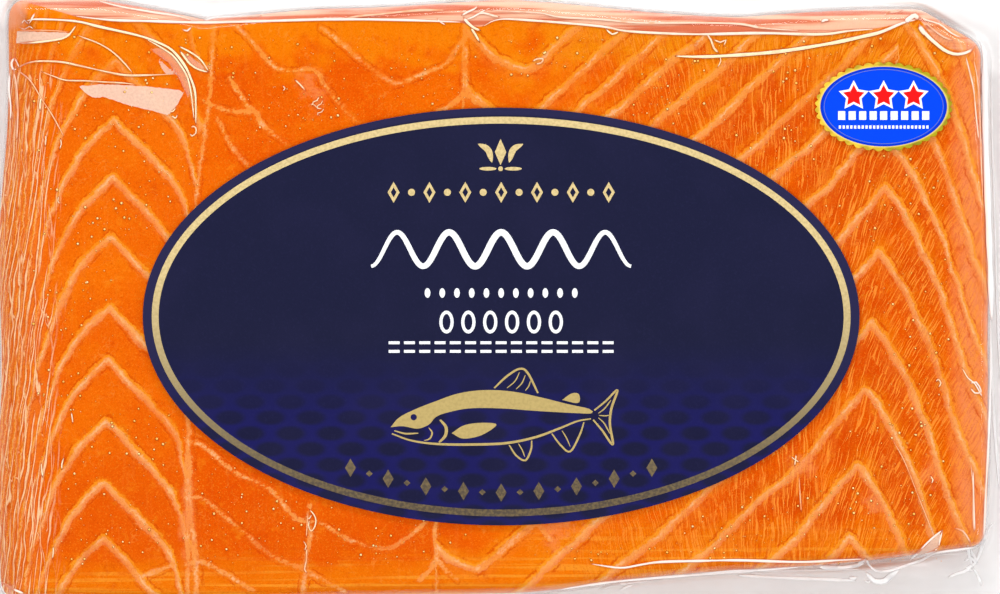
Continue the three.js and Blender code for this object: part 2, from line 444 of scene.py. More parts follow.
folds = {
    "sides": 8, "spacing": 0.7,
    "rise": 0.26,  # height for each mm of half width
    "sink": 0.02, "uneven": 0.22,
    # width, how white the painted highlight on each crease is, and the path of each
    "paths": [
        (0.5, 1.0, [(-81.4, 48.2), (-80.0, 48.8), (-72.9, 48.5), (-68.4, 47.5), (-61.4, 45.9), (-57.9, 44.6),
         (-55.8, 43.4), (-53.8, 41.0), (-52.7, 38.8), (-51.8, 35.8), (-51.7, 30.4)]),
        (0.34, 0.95, [(-60.4, 45.4), (-57.9, 44.0), (-55.8, 42.6), (-54.5, 41.0), (-53.2, 38.8),
         (-52.5, 35.8), (-52.0, 31.3)]),
        (0.36, 0.9, [(-54.8, 44.2), (-52.7, 43.1), (-50.8, 41.7), (-49.4, 39.6)]),
        (0.36, 0.9, [(-54.6, 43.5), (-52.7, 41.0), (-51.0, 40.0), (-49.4, 39.6)]),
        (0.36, 0.75, [(-83.1, 40.3), (-81.6, 41.0), (-79.5, 41.5), (-75.3, 41.4), (-71.8, 40.7),
         (-67.8, 39.8), (-64.0, 39.1), (-59.7, 39.1), (-55.1, 39.3)]),
        (0.3, 0.7, [(-78.8, 39.8), (-76.2, 38.8), (-74.3, 38.2), (-70.8, 38.1), (-67.8, 37.9),
         (-64.0, 37.7), (-62.1, 37.4)]),
        (0.42, 0.9, [(-82.8, 44.7), (-79.7, 44.8), (-76.2, 45.2), (-74.3, 45.7), (-73.2, 46.8),
         (-72.5, 47.8)]),
        (0.3, 0.5, [(-82.8, 46.8), (-79.7, 46.9), (-76.2, 46.8), (-73.6, 46.6)]),
        (0.26, 0.6, [(-82.8, 40.0), (-80.5, 38.1), (-78.5, 34.9), (-76.9, 32.5), (-75.7, 30.4),
         (-74.6, 28.3)]),
        (0.3, 0.7, [(-72.5, 46.1), (-68.4, 44.5), (-65.9, 42.9), (-63.8, 40.8), (-62.6, 39.3)]),
        (0.55, 0.95, [(-72.9, 49.4), (-66.6, 48.7), (-59.7, 48.5), (-51.0, 48.3), (-40.5, 48.5),
         (-28.4, 48.8), (-16.2, 48.7), (-5.4, 48.3)]),
        (0.42, 0.9, [(-69.1, 52.2), (-64.9, 51.1), (-59.8, 50.2), (-54.8, 49.4), (-51.1, 48.3)]),
        (0.36, 0.7, [(-51.1, 48.3), (-48.4, 49.2), (-44.0, 49.4), (-40.2, 49.5)]),
        (0.5, 0.85, [(-1.9, 47.5), (1.2, 48.8), (8.2, 48.5), (18.6, 47.6), (22.9, 46.8), (29.0, 46.4),
         (36.0, 46.2), (46.4, 46.4), (56.9, 46.2), (62.1, 46.8), (66.4, 47.1)]),
        (0.72, 0.95, [(31.6, 42.4), (35.2, 42.3), (39.5, 42.4), (48.9, 43.1), (58.1, 44.5), (63.8, 45.7),
         (67.5, 46.6), (71.3, 48.2), (73.9, 48.8)]),
        (0.66, 1.0, [(74.1, 48.0), (75.3, 46.2), (76.9, 44.7), (78.4, 43.5), (80.0, 42.8), (81.5, 42.8),
         (82.9, 43.3), (84.2, 44.5)]),
        (0.4, 0.7, [(73.5, 50.1), (75.1, 48.8), (77.7, 48.0), (79.8, 46.4), (81.5, 45.7), (83.3, 45.5)]),
        (0.3, 0.5, [(75.1, 48.3), (76.7, 46.9), (78.4, 45.7), (80.3, 45.0)]),
        (1.25, 1.0, [(85.3, 44.9), (85.75, 42.0), (85.85, 28.0), (86.0, 19.2), (86.3, 10.5), (86.7, 1.7),
         (87.0, -3.5)]),
        (0.4, 1.0, [(86.8, -3.5), (86.9, -10.5), (86.7, -17.5), (86.4, -22.7), (86.1, -28.0), (85.8, -33.2),
         (85.6, -38.5), (85.4, -42.0), (84.9, -43.4)]),
        (0.42, 0.95, [(87.4, -3.5), (87.6, -8.8), (87.9, -14.0), (88.1, -18.4), (88.4, -22.7), (88.8, -28.0),
         (89.3, -33.0)]),
        (0.3, 0.6, [(87.9, 43.0), (88.0, 30.0), (88.3, 17.4), (88.7, 5.0), (89.2, -8.0), (90.4, -25.0)]),
        (0.34, 0.6, [(82.2, 42.4), (82.9, 39.6), (83.6, 36.5), (84.0, 32.3), (84.5, 27.8)]),
        (0.3, 0.5, [(83.6, 41.7), (84.3, 38.2), (84.7, 33.0), (84.9, 26.1), (85.2, 17.4)]),
        (0.24, 0.5, [(83.1, -28.4), (83.5, -33.1), (83.5, -37.4), (83.6, -40.4)]),
        (0.36, 0.6, [(85.4, 45.5), (86.4, 44.3), (86.8, 42.4), (86.9, 39.1), (87.1, 33.0)]),
        (0.52, 1.0, [(16.9, -45.9), (22.1, -46.6), (25.5, -46.1), (29.0, -45.6), (36.0, -45.4), (42.9, -45.3),
         (53.4, -45.6), (60.3, -45.3), (64.5, -45.1)]),
        (0.8, 0.95, [(56.9, -46.6), (60.4, -46.8), (62.8, -46.6), (64.7, -46.0)]),
        (0.6, 0.85, [(42.9, -48.4), (49.9, -48.8), (63.8, -49.3)]),
        (0.4, 0.95, [(18.6, -51.0), (22.1, -49.8), (27.3, -49.4)]),
        (0.45, 0.95, [(22.4, -51.0), (23.6, -50.4), (24.7, -50.1)]),
        (0.36, 0.6, [(36.0, -47.8), (42.1, -47.2), (46.9, -47.2), (55.1, -47.5), (64.5, -47.2)]),
        (0.42, 0.95, [(60.7, -47.0), (63.4, -46.4), (64.9, -45.2), (65.6, -46.2), (67.0, -47.4),
         (69.0, -47.5), (71.7, -46.7), (75.2, -45.5), (77.0, -44.2), (81.3, -43.5), (84.4, -43.1)]),
        (0.8, 0.95, [(65.2, -47.6), (66.4, -48.9), (67.3, -49.4), (68.7, -49.3), (69.6, -48.4),
         (71.2, -47.2)]),
        (0.5, 0.85, [(62.4, -48.7), (63.2, -48.9), (63.9, -48.7)]),
        (0.4, 0.8, [(65.2, -49.2), (65.8, -49.6), (66.3, -49.3)]),
        (0.26, 0.8, [(-32.0, -36.4), (-31.2, -37.3), (-30.8, -38.4), (-31.1, -39.6), (-31.7, -40.2),
         (-32.1, -39.2), (-31.9, -38.2)]),
        (0.26, 0.6, [(-32.4, -43.0), (-32.5, -45.4), (-32.8, -46.8), (-32.3, -47.6)]),
        (0.26, 0.5, [(-32.2, -37.0), (-32.5, -41.5)]),
        (0.26, 0.5, [(53.2, -30.6), (53.4, -34.0), (53.6, -37.0)]),
        (0.26, 0.7, [(51.8, -27.2), (52.5, -27.8), (53.4, -28.3)]),
        (0.26, 0.7, [(52.7, -26.8), (52.6, -27.9), (52.4, -29.0)]),
        (0.42, 0.95, [(72.9, -45.6), (74.2, -43.7), (76.0, -41.8), (78.2, -40.0)]),
        (0.36, 0.8, [(73.4, -45.4), (75.6, -44.4), (77.4, -43.3)]),
        (0.34, 0.7, [(78.2, -40.0), (77.7, -41.8), (77.5, -43.2)]),
        (0.6, 1.0, [(82.6, -42.6), (83.3, -44.5), (84.3, -47.0)]),
        (0.5, 1.0, [(80.0, -48.9), (81.5, -48.2), (82.9, -47.8), (84.3, -47.0)]),
        (0.55, 1.0, [(84.3, -47.0), (85.4, -45.2), (86.8, -40.9), (88.2, -39.2)]),
        (0.5, 1.0, [(84.3, -47.0), (85.4, -48.6), (86.1, -50.5)]),
        (0.5, 1.0, [(82.9, -46.0), (84.0, -45.4), (84.9, -46.4), (83.4, -47.2), (84.8, -48.0)]),
        (0.4, 0.9, [(83.4, -43.6), (84.4, -44.9), (85.2, -46.5)]),
        (0.42, 0.95, [(11.6, -50.5), (18.6, -49.4), (25.5, -48.7), (39.5, -47.7), (53.4, -46.6)]),
        (0.3, 0.5, [(80.2, -39.7), (81.7, -40.2), (82.8, -41.8), (83.3, -43.2)]),
        (0.45, 0.8, [(-85.8, -49.2), (-84.0, -50.1), (-81.4, -51.2)]),
        (0.28, 0.8, [(81.5, -11.7), (82.6, -13.6), (83.8, -14.6), (85.2, -17.1)]),
        (0.28, 0.8, [(82.9, -14.6), (84.0, -14.3), (84.9, -15.9), (83.8, -16.2), (83.0, -15.2)]),
        (0.4, 0.6, [(-0.5, 50.4), (2.9, 50.2), (8.2, 49.9), (11.6, 49.2), (18.6, 48.8), (25.5, 48.2),
         (36.0, 48.2), (42.9, 48.0), (46.8, 47.3), (53.4, 46.8)]),
        (0.45, 0.5, [(-26.6, 48.8), (-23.1, 49.4), (-19.7, 49.7), (-16.2, 50.1), (-12.7, 50.4),
         (-8.4, 50.4)]),
        (0.42, 0.9, [(-5.6, 49.4), (-4.4, 50.1), (-3.3, 50.6), (-2.5, 51.3)]),
        (0.6, 0.95, [(-5.2, 49.2), (-4.4, 48.2), (-3.3, 47.3), (-2.1, 46.8)]),
        (0.36, 0.8, [(-4.9, 48.7), (-3.5, 49.2), (-2.3, 49.9), (-1.1, 50.6)]),
        (0.45, 0.85, [(-4.0, 47.5), (-3.1, 46.2), (-2.3, 44.7)]),
        (0.4, 0.7, [(-3.0, 49.7), (-1.6, 49.9), (-0.2, 49.5), (1.2, 49.2)]),
        (0.36, 0.9, [(19.5, 47.3), (20.7, 46.2), (22.1, 46.8)]),
        (0.34, 0.8, [(36.9, 46.6), (37.9, 45.2), (38.4, 43.8), (39.3, 42.9)]),
        (0.3, 0.7, [(38.2, 45.4), (39.5, 44.8), (40.5, 45.2), (40.0, 44.0)]),
        (0.3, 0.7, [(39.3, 42.9), (39.6, 41.5), (38.9, 40.3)]),
        (0.36, 0.7, [(6.8, 41.4), (7.6, 41.9), (8.7, 41.9), (8.3, 41.2), (7.3, 41.0)]),
        (0.5, 0.95, [(57.0, 48.3), (57.7, 48.7), (58.6, 48.7)]),
        (0.36, 0.7, [(68.0, 49.5), (68.9, 50.1), (70.2, 50.2), (71.8, 50.6)]),
        (0.9, 1.0, [(71.5, 48.2), (72.5, 49.0), (73.4, 49.5), (74.1, 48.7)]),
        (0.8, 1.0, [(74.1, 47.8), (74.6, 46.9), (75.5, 45.9)]),
        (0.34, 0.8, [(-82.3, 47.8), (-81.6, 48.7), (-80.9, 48.0), (-80.2, 49.0), (-79.7, 49.9)]),
        (0.34, 0.8, [(-82.6, 47.5), (-81.6, 47.1), (-80.7, 47.6), (-80.0, 47.1)]),
        (0.45, 0.9, [(-83.5, 42.2), (-84.0, 41.4), (-83.8, 40.3), (-83.1, 40.2)]),
        (0.36, 0.8, [(-83.5, 42.2), (-83.0, 41.4), (-82.6, 40.5)]),
        (0.4, 0.8, [(-84.4, 39.6), (-84.5, 36.5), (-84.2, 33.9), (-84.2, 31.3)]),
        (0.34, 0.5, [(-83.7, 40.0), (-83.1, 37.4), (-82.8, 33.0), (-83.0, 27.8)]),
        (0.34, 0.9, [(-78.6, -28.2), (-78.5, -29.6), (-78.3, -31.0)]),
        (0.3, 0.9, [(-74.6, -27.3), (-75.0, -28.5), (-75.0, -29.6)]),
        (0.3, 0.9, [(-76.5, -42.8), (-76.5, -44.0), (-76.7, -45.2)]),
        (0.26, 0.8, [(-73.4, -19.5), (-73.2, -20.5), (-73.1, -21.6)]),
        (0.36, 0.95, [(-78.6, 35.3), (-78.8, 34.1), (-78.8, 32.8)]),
        (0.26, 0.8, [(-77.8, 28.8), (-77.8, 27.8), (-77.9, 26.6)]),
        (0.26, 0.8, [(-75.3, 28.2), (-75.1, 27.1), (-75.5, 26.1)]),
        (0.28, 0.8, [(-75.5, 18.1), (-75.7, 17.2), (-75.3, 16.7)]),
        (0.24, 0.8, [(-30.3, 35.4), (-30.6, 34.7), (-31.3, 34.4), (-31.3, 33.7)]),
        (0.24, 0.8, [(-29.6, 34.9), (-29.9, 34.1), (-30.5, 33.8), (-30.6, 33.0)]),
        (0.24, 0.7, [(-31.9, 34.1), (-31.1, 33.9), (-30.4, 33.3), (-29.7, 33.3)]),
        (0.24, 0.7, [(-29.4, 33.4), (-29.8, 32.7), (-30.5, 32.5), (-30.4, 32.0)]),
        (0.24, 0.7, [(-36.7, 37.3), (-36.2, 36.8), (-36.6, 36.3)]),
        (0.26, 0.7, [(-34.6, 38.4), (-33.6, 37.5), (-32.5, 36.2)]),
        (0.3, 0.8, [(-9.8, 49.0), (-9.1, 48.3), (-8.2, 47.8)]),
        (0.28, 0.7, [(-54.1, 47.1), (-53.2, 46.8), (-52.4, 47.6)]),
        (0.3, 0.8, [(-32.5, -37.4), (-32.0, -38.1), (-31.5, -37.2)]),
        (0.26, 0.7, [(-33.1, -41.8), (-32.5, -42.8), (-32.9, -43.7)]),
        (0.28, 0.8, [(-55.1, 33.5), (-55.7, 32.8), (-56.2, 32.7)]),
        (0.28, 0.8, [(-54.8, 32.3), (-55.3, 31.6), (-56.0, 32.2)]),
        (0.26, 0.8, [(-52.5, 29.9), (-52.2, 30.2), (-51.7, 29.9), (-51.7, 29.0), (-52.4, 28.5),
         (-52.7, 29.0)]),
        (0.3, 0.8, [(76.0, -30.5), (76.5, -31.3), (76.2, -32.0)]),
        (0.26, 0.7, [(77.0, -14.3), (77.4, -13.8), (77.9, -14.5), (77.4, -15.3)]),
        (0.22, 0.5, [(77.0, -41.8), (74.2, -34.8), (71.6, -28.2), (69.5, -24.4)]),
        (0.26, 0.7, [(83.5, -29.6), (83.6, -34.8), (83.8, -40.4)]),
    ],
}


def insidePatch(x, y, outline):
    # distance inside an outline, less than nothing outside it
    corners = np.array(outline, float)
    ahead = np.roll(corners, -1, 0)
    inside = np.zeros(x.shape, bool)
    gap = np.full(x.shape, 99.0)
    for (ax, ay), (bx, by) in zip(corners, ahead):
        if ay != by:
            inside ^= ((ay > y) != (by > y)) & (x < (bx - ax) * (y - ay) / (by - ay) + ax)
        t = np.clip(((x - ax) * (bx - ax) + (y - ay) * (by - ay)) / ((bx - ax) ** 2 + (by - ay) ** 2), 0, 1)
        gap = np.minimum(gap, np.hypot(x - ax - t * (bx - ax), y - ay - t * (by - ay)))
    return np.where(inside, gap, -gap)


def makeFolds():
    points, faces, glintStrength = [], [], []
    for number, (width, white, path) in enumerate(folds["paths"]):
        line = smoothPath(path, folds["spacing"])
        x, y = line.T
        heading = np.gradient(line, axis=0)
        heading /= np.linalg.norm(heading, axis=1)[:, None]
        t = np.linspace(0, 1, len(line))
        half = width / 2 * np.sqrt(np.clip(np.minimum(t, 1 - t) * 7, 0.02, 1))  # pointed at both ends
        half = half * (1 + folds["uneven"] * swell(x, y, 7, number))
        reach = max(0.3, width / 2)
        around = [filmTop(x + dx, y + dy)
                  for dx, dy in ((0, 0), (reach, 0), (-reach, 0), (0, reach), (0, -reach))]
        highest = np.max(around, 0)
        ground = np.convolve(np.pad(highest, 4, "edge"), np.full(9, 1 / 9), "valid")
        ground = np.maximum(ground, highest) - folds["sink"]
        start = len(points)
        sides = folds["sides"]
        for k in range(len(line)):
            for turn in np.arange(sides) * 2 * math.pi / sides:
                off = math.cos(turn) * half[k]
                points.append((x[k] - heading[k, 1] * off, y[k] + heading[k, 0] * off,
                               ground[k] + math.sin(turn) * half[k] * folds["rise"]))
                glintStrength.append(white)
        for k in range(len(line) - 1):
            low = start + k * sides
            for i in range(sides):
                j = (i + 1) % sides
                faces.append((low + i, low + j, low + sides + j, low + sides + i))
        faces.append(tuple(start + i for i in reversed(range(sides))))
        faces.append(tuple(len(points) - sides + i for i in range(sides)))
    piece = makeMesh("filmFolds", points, faces)
    # how strong each fold's painted highlight is
    setAttribute(piece, "white", glintStrength)
    x, y, _ = np.array(points).T
    setAttribute(piece, "outside", edge.measure(x, y)[0])
    return piece


def paintFolds():
    paint = Paint("filmFoldGlint")
    place = paint.place()
    streak = paint.ramp(paint.noise(place, 600, 2), 0.3, 0.55)
    facing = paint.wire("ShaderNodeLayerWeight", {}, {"Blend": 0.5}, "Facing")
    onFish = paint.ramp(paint.attribute("outside"), -0.2, -0.8)
    white = paint.ramp(paint.attribute("white") * (0.75 + 0.25 * streak), 0.2, 0.95)
    # painted highlight: the folds' cream and white stand in for the glint of light on the film's creases, and
    # their darker edge colour is painted shade
    glintTone = paint.blend(white, tint(240, 132, 50), tint(254, 232, 190))
    edgeShade = paint.blend(white, tint(230, 100, 26), tint(176, 74, 22))
    # the painted highlight is pinker towards the fish's edge and white beyond it
    nearer = paint.ramp(paint.attribute("outside"), -5.5, -3.0)
    glintTone = paint.blend(nearer * white, glintTone, tint(252, 232, 218))
    edgeShade = paint.blend(nearer * 0.7, edgeShade, tint(226, 150, 116))
    glintTone = paint.blend(onFish, paint.blend(white, tint(232, 228, 227), tint(253, 253, 253)), glintTone)
    edgeShade = paint.blend(onFish, tint(232, 229, 229), edgeShade)
    # painted shade: the edges darken where the fold is seen steeply
    glintTone = paint.blend(paint.ramp(facing, 0.04, 0.14), glintTone, edgeShade)
    return paint.finish(paint.principled({"Base Color": glintTone, "Roughness": 0.35, "Specular IOR Level": 0.3}))


def makeFilm():
    x, y = roundCorners(*np.meshgrid(gradedLine(bag["gridX"]), gradedLine(bag["gridY"])))
    top = np.dstack([x, y, filmTop(x, y)])
    underX, underY = x[::2, ::2], y[::2, ::2]
    under = np.dstack([underX, underY, filmUnder(underX, underY)])
    film, points = closedSkin("film", top, [], under)
    x, y, z = points.T
    # the lower sheet stays clear
    setAttribute(film, "outside", np.where(np.arange(len(x)) < top[..., 0].size, edge.measure(x, y)[0], -9))
    within, white = np.full(x.shape, -9.0), np.zeros(x.shape)
    # the patches' whiteness is painted glare on the upper sheet
    for strength, outline in bag["glarePatches"]:
        here = insidePatch(x, y, outline)
        white = np.where(here > within, strength, white)
        within = np.maximum(within, here)
    setAttribute(film, "within", np.where(z > 2.5, within, -9))
    setAttribute(film, "white", white)
    return film


# the salmon

salmon = {
    "columns": 340, "rows": 200,
    "corners": [(-87, -52), (86, -44), (81, 48), (-85, 53)],  # near which the grid has its own
    "below": 0.15,  # how far the top lies under the film
    "inset": 0.3,  # how far inside the film its sides stay
    "sideRings": [0.25, 0.5, 0.75],  # shares of the way down its sides
    "underRings": [(0.3, 1.95), (0.75, 1.15), (1.6, 0.62)],  # inset and height, down the lower edge
    "underInset": 2.6, "underHeight": 0.32,
    # The pale walls between the muscle bands, in mm seen from above. A drop is how far a wall has come
    # down at some distance from its crest, and crests are the heights where walls cross their axis.
    "middle": (1.2, 0.5),  # where their coordinates start from
    "seam": [(-60, -53.0), (-48, -52.8), (-36, -54.0), (0, -54.4), (25, -52.0), (34, -50.4), (60, -49.2)],
    "centre": [(-60, -10.4), (-44, -11.4), (-30, -10.4), (30, -6.6), (60, -5.9)],
    # where the top ends at the far edge and the cut side begins to show
    "lip": [(-85.8, 52.3), (-82.4, 52.2), (-77.0, 50.6), (-71.4, 48.9), (-66.6, 48.7), (-59.7, 48.5),
     (-51.0, 48.2), (-40.5, 48.5), (-30.1, 48.7), (-16.2, 48.7), (-6.1, 48.5), (-4.0, 47.6), (-1.9, 47.5),
     (1.2, 48.8), (8.2, 48.5), (18.6, 47.6), (23.8, 46.8), (34.2, 46.4), (46.4, 46.2), (56.9, 46.2),
     (62.1, 46.8), (67.3, 47.3), (71.3, 48.2), (74.1, 49.0), (76.9, 45.2), (79.5, 43.5), (82.1, 43.1),
     (84.2, 44.5), (88.2, 44.5)],
    "left": {
        "axis": (-67.1, 31.5, 0.026),  # x at y, and how far it leans for each mm along Y
        "outerDrop": [(0, 0), (2.96, 2.6), (5.74, 5.74), (7.8, 9.2), (9.6, 13.0), (11.3, 17.4), (12.5, 21.2),
                      (13.6, 25.2), (14.8, 32.2), (16.0, 41.7), (18.3, 60.9), (24, 115)],
        "innerDrop": [(0, 0), (2.1, 2.1), (4.7, 4.9), (7.8, 8.2), (10.4, 10.9), (12.2, 14.0), (14.2, 22)],
        "crests": [165, 154.6, 144.5, 134, 124, 114, 104, 94, 83.5, 72.6, 62.3, 52.0, 41.6, 31.5, 21.2, 11.1,
                   -1.4, -10.3, -21.0, -31.8, -41.6, -52.3, -62.6],
    },
    "right": {
        "axis": (63.5, -15.5, 0.1),
        "innerDrop": [(0, 0), (3.8, 4.2), (8.2, 9.5), (11.3, 13.5), (18.3, 19.4), (36, 36.1), (43.8, 42.4),
                      (56.3, 53.5), (66.1, 62.6), (69.6, 65.7), (71.5, 66.7), (75.7, 64.8), (87, 54.4)],
        "outerDrop": [(0, 0), (2.6, 3.1), (5.2, 7.5), (7.5, 12.5), (9.4, 17.0), (11, 22.1), (12.5, 26.6),
                      (14.1, 32), (15.8, 35.8), (17.4, 39.1), (20, 45.6), (28, 65)],
        "crests": [136, 126, 116, 106.4, 97.2, 90.3, 83.7, 74.8, 65.4, 53.4, 44.2, 32.9, 19.65, 8.35, -4.0,
                   -15.5, -28.7, -41.0, -52.7, -64],
        "outerCrests": [136, 126, 116, 106.4, 97.2, 90.3, 83.7, 72, 61, 49.0, 38.1, 27.3, 19.65, 8.35, -4.0,
                        -15.5, -28.7, -41.0, -52.7, -64],
    },
    # pinkish blotches: middle and half sizes
    "blotches": [(-33, 35.5, 3.6, 7), (10.5, -40.5, 6.5, 5.5), (52.5, -28.5, 3.5, 4), (65.5, -35.5, 3.5, 4),
                 (74.8, -30.5, 3, 4.5), (-57, 33.5, 3, 4), (-54.4, -40, 1.8, 14)],
    # single walls in the middle part, where the bands are less regular
    "strokes": [
        [(-46, 47.3), (-42.6, 43.8), (-39.6, 40.3), (-37.7, 39.5), (-35.1, 39.3), (-33.4, 39.8),
         (-31.7, 39), (-30.4, 36.7), (-27, 32.5), (-24.5, 30)],
        [(-31, 46.8), (-27, 43.8), (-24.9, 41.7), (-19.5, 37.7), (-17.7, 37.2), (-13, 39),
         (-10.4, 40), (-9, 40.9), (-6.6, 44.7)],
        [(-47, 38), (-44, 33.4), (-42.3, 32), (-41.4, 30), (-36.9, 26.4)],
        [(-49.2, 31.1), (-47, 26.8), (-43.5, 22.4)],
        [(-54, -25.4), (-52, -25.7), (-47.8, -29.2), (-45.2, -31), (-40, -33.6), (-36.5, -37.5),
         (-34.8, -38.8), (-31.3, -39.3), (-26, -42.3), (-20, -43.8), (-16.5, -42.1), (-12.7, -39)],
        [(-54, -34.8), (-51.3, -35.3), (-47.8, -38.3), (-43.5, -41.9), (-39.1, -45.4), (-34.8, -47.1),
         (-27, -51.3)],
        [(-54, -46.3), (-51.3, -46.3), (-46, -49.2), (-43.1, -51)],
        [(-33.0, -36.3), (-33.4, -39.1), (-32.9, -41.4), (-33.6, -44.3), (-33.9, -47.8), (-34.3, -52.0)],
        [(-11.0, -38.8), (-11.5, -41.4), (-11.0, -43.7), (-11.0, -46.1)],
        [(-11.0, -45.7), (-12.2, -47.5), (-13.9, -49.2)],
        [(-10.8, -45.7), (-9.4, -47.5), (-7.3, -49.2)],
        [(6.1, -39.3), (4.5, -40.9), (2.1, -42.8), (0.0, -44.7), (-2.6, -46.6), (-4.9, -48.0)],
        [(6.6, -39.3), (7.8, -40.9), (9.0, -42.4)],
        [(-6.1, 45.4), (-5.9, 42.6), (-6.1, 39.8), (-5.9, 37.4), (-6.4, 35.1)],
        [(-6.4, 35.3), (-7.8, 33.9), (-9.4, 32.9), (-11.0, 32.3)],
        [(-5.7, 35.1), (-4.2, 33.9), (-2.4, 32.9)],
        [(-62.6, -48.7), (-59.8, -47.7), (-57.0, -46.6)],
        [(-52.2, 34.6), (-50.1, 33.4), (-47.8, 32.5), (-43.5, 32.2)],
        [(-54.3, -24.9), (-54.4, -30.1), (-54.6, -35.3), (-54.3, -40.5), (-54.4, -45.7), (-54.3, -52.0)],
    ],
}


def countWalls(x, y, part):
    # which band each place is in: whole numbers lie on the pale walls
    axisX, axisY, lean = part["axis"]
    crest = y
    for _ in range(5):
        off = x - (axisX + lean * (crest - axisY))
        isOuter = off > 0 if axisX > 0 else off < 0
        outer = followPoints(abs(off), part["outerDrop"], 0.5)
        inner = followPoints(abs(off), part["innerDrop"], 0.5)
        crest = y + np.where(isOuter, outer, inner)
    numbers = np.arange(len(part["crests"]), dtype=float)[::-1]
    inner = np.interp(crest, part["crests"][::-1], numbers)
    outer = np.interp(crest, part.get("outerCrests", part["crests"])[::-1], numbers)
    return np.where(isOuter, outer, inner)


def bandWidth(x, y, part):
    # mm from one wall to the next, square to them
    step = 0.1
    alongX = countWalls(x + step, y, part) - countWalls(x - step, y, part)
    alongY = countWalls(x, y + step, part) - countWalls(x, y - step, part)
    return np.clip(2 * step / np.maximum(np.hypot(alongX, alongY), 1e-6), 0.3, 14)


def nearestStroke(x, y, strokes):
    best = np.full(np.shape(x), 9.0)
    for stroke in strokes:
        path = smoothPath(stroke, 0.6)
        low, high = path.min(0) - 4, path.max(0) + 4
        near = (x > low[0]) & (x < high[0]) & (y > low[1]) & (y < high[1])
        a, ab = path[:-1], np.diff(path, axis=0)
        dx, dy = x[near][:, None] - a[:, 0], y[near][:, None] - a[:, 1]
        t = np.clip((dx * ab[:, 0] + dy * ab[:, 1]) / (ab**2).sum(1), 0, 1)
        gap = np.hypot(dx - t * ab[:, 0], dy - t * ab[:, 1]).min(1)
        best[near] = np.minimum(best[near], gap)
    return best


def coonsPatch(loop, columns, rows):
    # a grid that fills a four-cornered loop of points
    breaks = [int(np.hypot(*(loop - corner).T).argmin()) for corner in salmon["corners"]]
    around = np.vstack([loop[breaks[0]:], loop[:breaks[0]]])
    cuts = [(b - breaks[0]) % len(loop) for b in breaks] + [len(loop)]
    closed = np.vstack([around, around[:1]])
    near, right, far, left = [closed[a:b + 1] for a, b in zip(cuts, cuts[1:])]
    near, far = resample(near, columns + 1), resample(far[::-1], columns + 1)
    left, right = resample(left[::-1], rows + 1), resample(right, rows + 1)
    u = np.linspace(0, 1, columns + 1)[None, :, None]
    v = np.linspace(0, 1, rows + 1)[:, None, None]
    straight = ((1 - u) * (1 - v) * near[0] + u * (1 - v) * near[-1] + (1 - u) * v * far[0] + u * v * far[-1])
    return (1 - v) * near[None] + v * far[None] + (1 - u) * left[:, None] + u * right[:, None] - straight


def makeSalmon():
    inset = salmon["inset"]
    grid = coonsPatch(edge.points - edge.outward * inset, salmon["columns"], salmon["rows"])
    x, y = grid[..., 0], grid[..., 1]
    reach = edge.measure(x, y)
    top = np.dstack([x, y, filmTop(x, y, reach) - salmon["below"]])
    rim = np.concatenate([top[0, :-1], top[:-1, -1], top[-1, :0:-1], top[:0:-1, 0]])
    _, facingX, facingY = edge.measure(rim[:, 0], rim[:, 1])
    rings = []
    for share in salmon["sideRings"]:
        ring = rim.copy()
        ring[:, 2] = rim[:, 2] * (1 - share) + salmon["underRings"][0][1] * share
        rings.append(ring)
    for ringInset, height in salmon["underRings"]:
        ring = rim.copy()
        ring[:, 0] -= facingX * (ringInset - inset)
        ring[:, 1] -= facingY * (ringInset - inset)
        ring[:, 2] = height
        rings.append(ring)
    loop = edge.points - edge.outward * salmon["underInset"]
    under = coonsPatch(loop, salmon["columns"] // 2, salmon["rows"] // 2)
    under = np.dstack([under, np.full(under.shape[:2], salmon["underHeight"])])
    piece, points = closedSkin("salmon", top, rings, under)
    x, y = points[:, 0] - salmon["middle"][0], points[:, 1] - salmon["middle"][1]
    for side in ("left", "right"):
        setAttribute(piece, side + "Band", countWalls(x, y, salmon[side]))
        setAttribute(piece, side + "Width", bandWidth(x, y, salmon[side]))
    setAttribute(piece, "pastSeam", x - followPoints(y, salmon["seam"], 2))
    setAttribute(piece, "pastCentre", x - followPoints(y, salmon["centre"], 2))
    setAttribute(piece, "stroke", nearestStroke(x, y, salmon["strokes"]))
    blotch = [1 - np.hypot((x - bx) / rx, (y - by) / ry) for bx, by, rx, ry in salmon["blotches"]]
    setAttribute(piece, "blotch", np.max(blotch, 0))
    x, y = points[:, 0], points[:, 1]
    setAttribute(piece, "rim", -edge.measure(x, y)[0])
    setAttribute(piece, "pastLip", y - followPoints(x, salmon["lip"], 0.6))
    return piece


